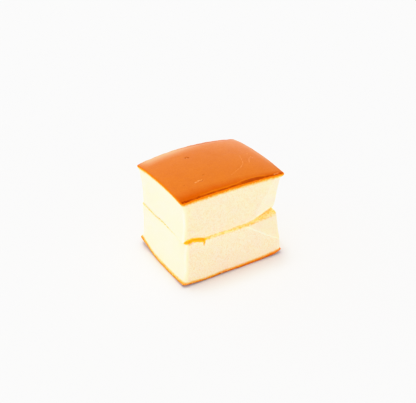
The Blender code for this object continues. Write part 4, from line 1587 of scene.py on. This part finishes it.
class CAKE_OT_upper_slab(bpy.types.Operator):
    """Add the upper slab of sponge, with the domed crust on top"""

    bl_idname = "cake.upper_slab"
    bl_label = "Upper slab"
    bl_options = {"REGISTER", "UNDO"}

    def execute(self, context):
        make_slab(UPPER, context.scene.cake)
        return {"FINISHED"}


class CAKE_OT_lower_slab(bpy.types.Operator):
    """Add the lower slab of sponge, with its crust underneath"""

    bl_idname = "cake.lower_slab"
    bl_label = "Lower slab"
    bl_options = {"REGISTER", "UNDO"}

    def execute(self, context):
        make_slab(LOWER, context.scene.cake)
        return {"FINISHED"}


class CAKE_OT_loose_crumbs(bpy.types.Operator):
    """Scatter crumbs under the crusts and along the seam of both slabs"""

    bl_idname = "cake.loose_crumbs"
    bl_label = "Loose crumbs"
    bl_options = {"REGISTER", "UNDO"}

    def execute(self, context):
        make_loose_crumbs(context.scene.cake)
        return {"FINISHED"}


class CAKE_OT_stage(bpy.types.Operator):
    """Add the pale floor, the soft studio light and the camera"""

    bl_idname = "cake.stage"
    bl_label = "Stage"
    bl_options = {"REGISTER", "UNDO"}

    def execute(self, context):
        stage = context.scene.cake.stage
        make_floor(stage)
        make_world(stage)
        make_lamp(stage)
        make_camera(stage)
        set_tone(context.scene.view_settings)
        return {"FINISHED"}


class VIEW3D_PT_cake(bpy.types.Panel):
    """Lists the cake's pieces and their settings"""

    bl_label = "Chiffon cake"
    bl_space_type = "VIEW_3D"
    bl_region_type = "UI"
    bl_category = "Cake"

    def draw(self, context):
        settings = context.scene.cake
        for operator in OPERATORS:
            self.layout.operator(operator.bl_idname)
        for group in (settings.crumb, settings.crust, settings.loose, settings.stage):
            box = self.layout.box()
            for name in group.__annotations__:
                box.prop(group, name)


OPERATORS = (CAKE_OT_upper_slab, CAKE_OT_lower_slab, CAKE_OT_loose_crumbs, CAKE_OT_stage)
CLASSES = (
    CrumbSettings, CrustSettings, LooseSettings, StageSettings, CakeSettings,
    *OPERATORS, VIEW3D_PT_cake,
)


def register():
    for cls in CLASSES:
        bpy.utils.register_class(cls)
    bpy.types.Scene.cake = PointerProperty(
        name="Chiffon cake", description="Sizes and colours of the cake", type=CakeSettings)


def unregister():
    del bpy.types.Scene.cake
    for cls in reversed(CLASSES):
        bpy.utils.unregister_class(cls)


def main():
    register()
    bpy.ops.cake.upper_slab()
    bpy.ops.cake.lower_slab()
    bpy.ops.cake.loose_crumbs()
    bpy.ops.cake.stage()


if __name__ == "__main__":
    main()
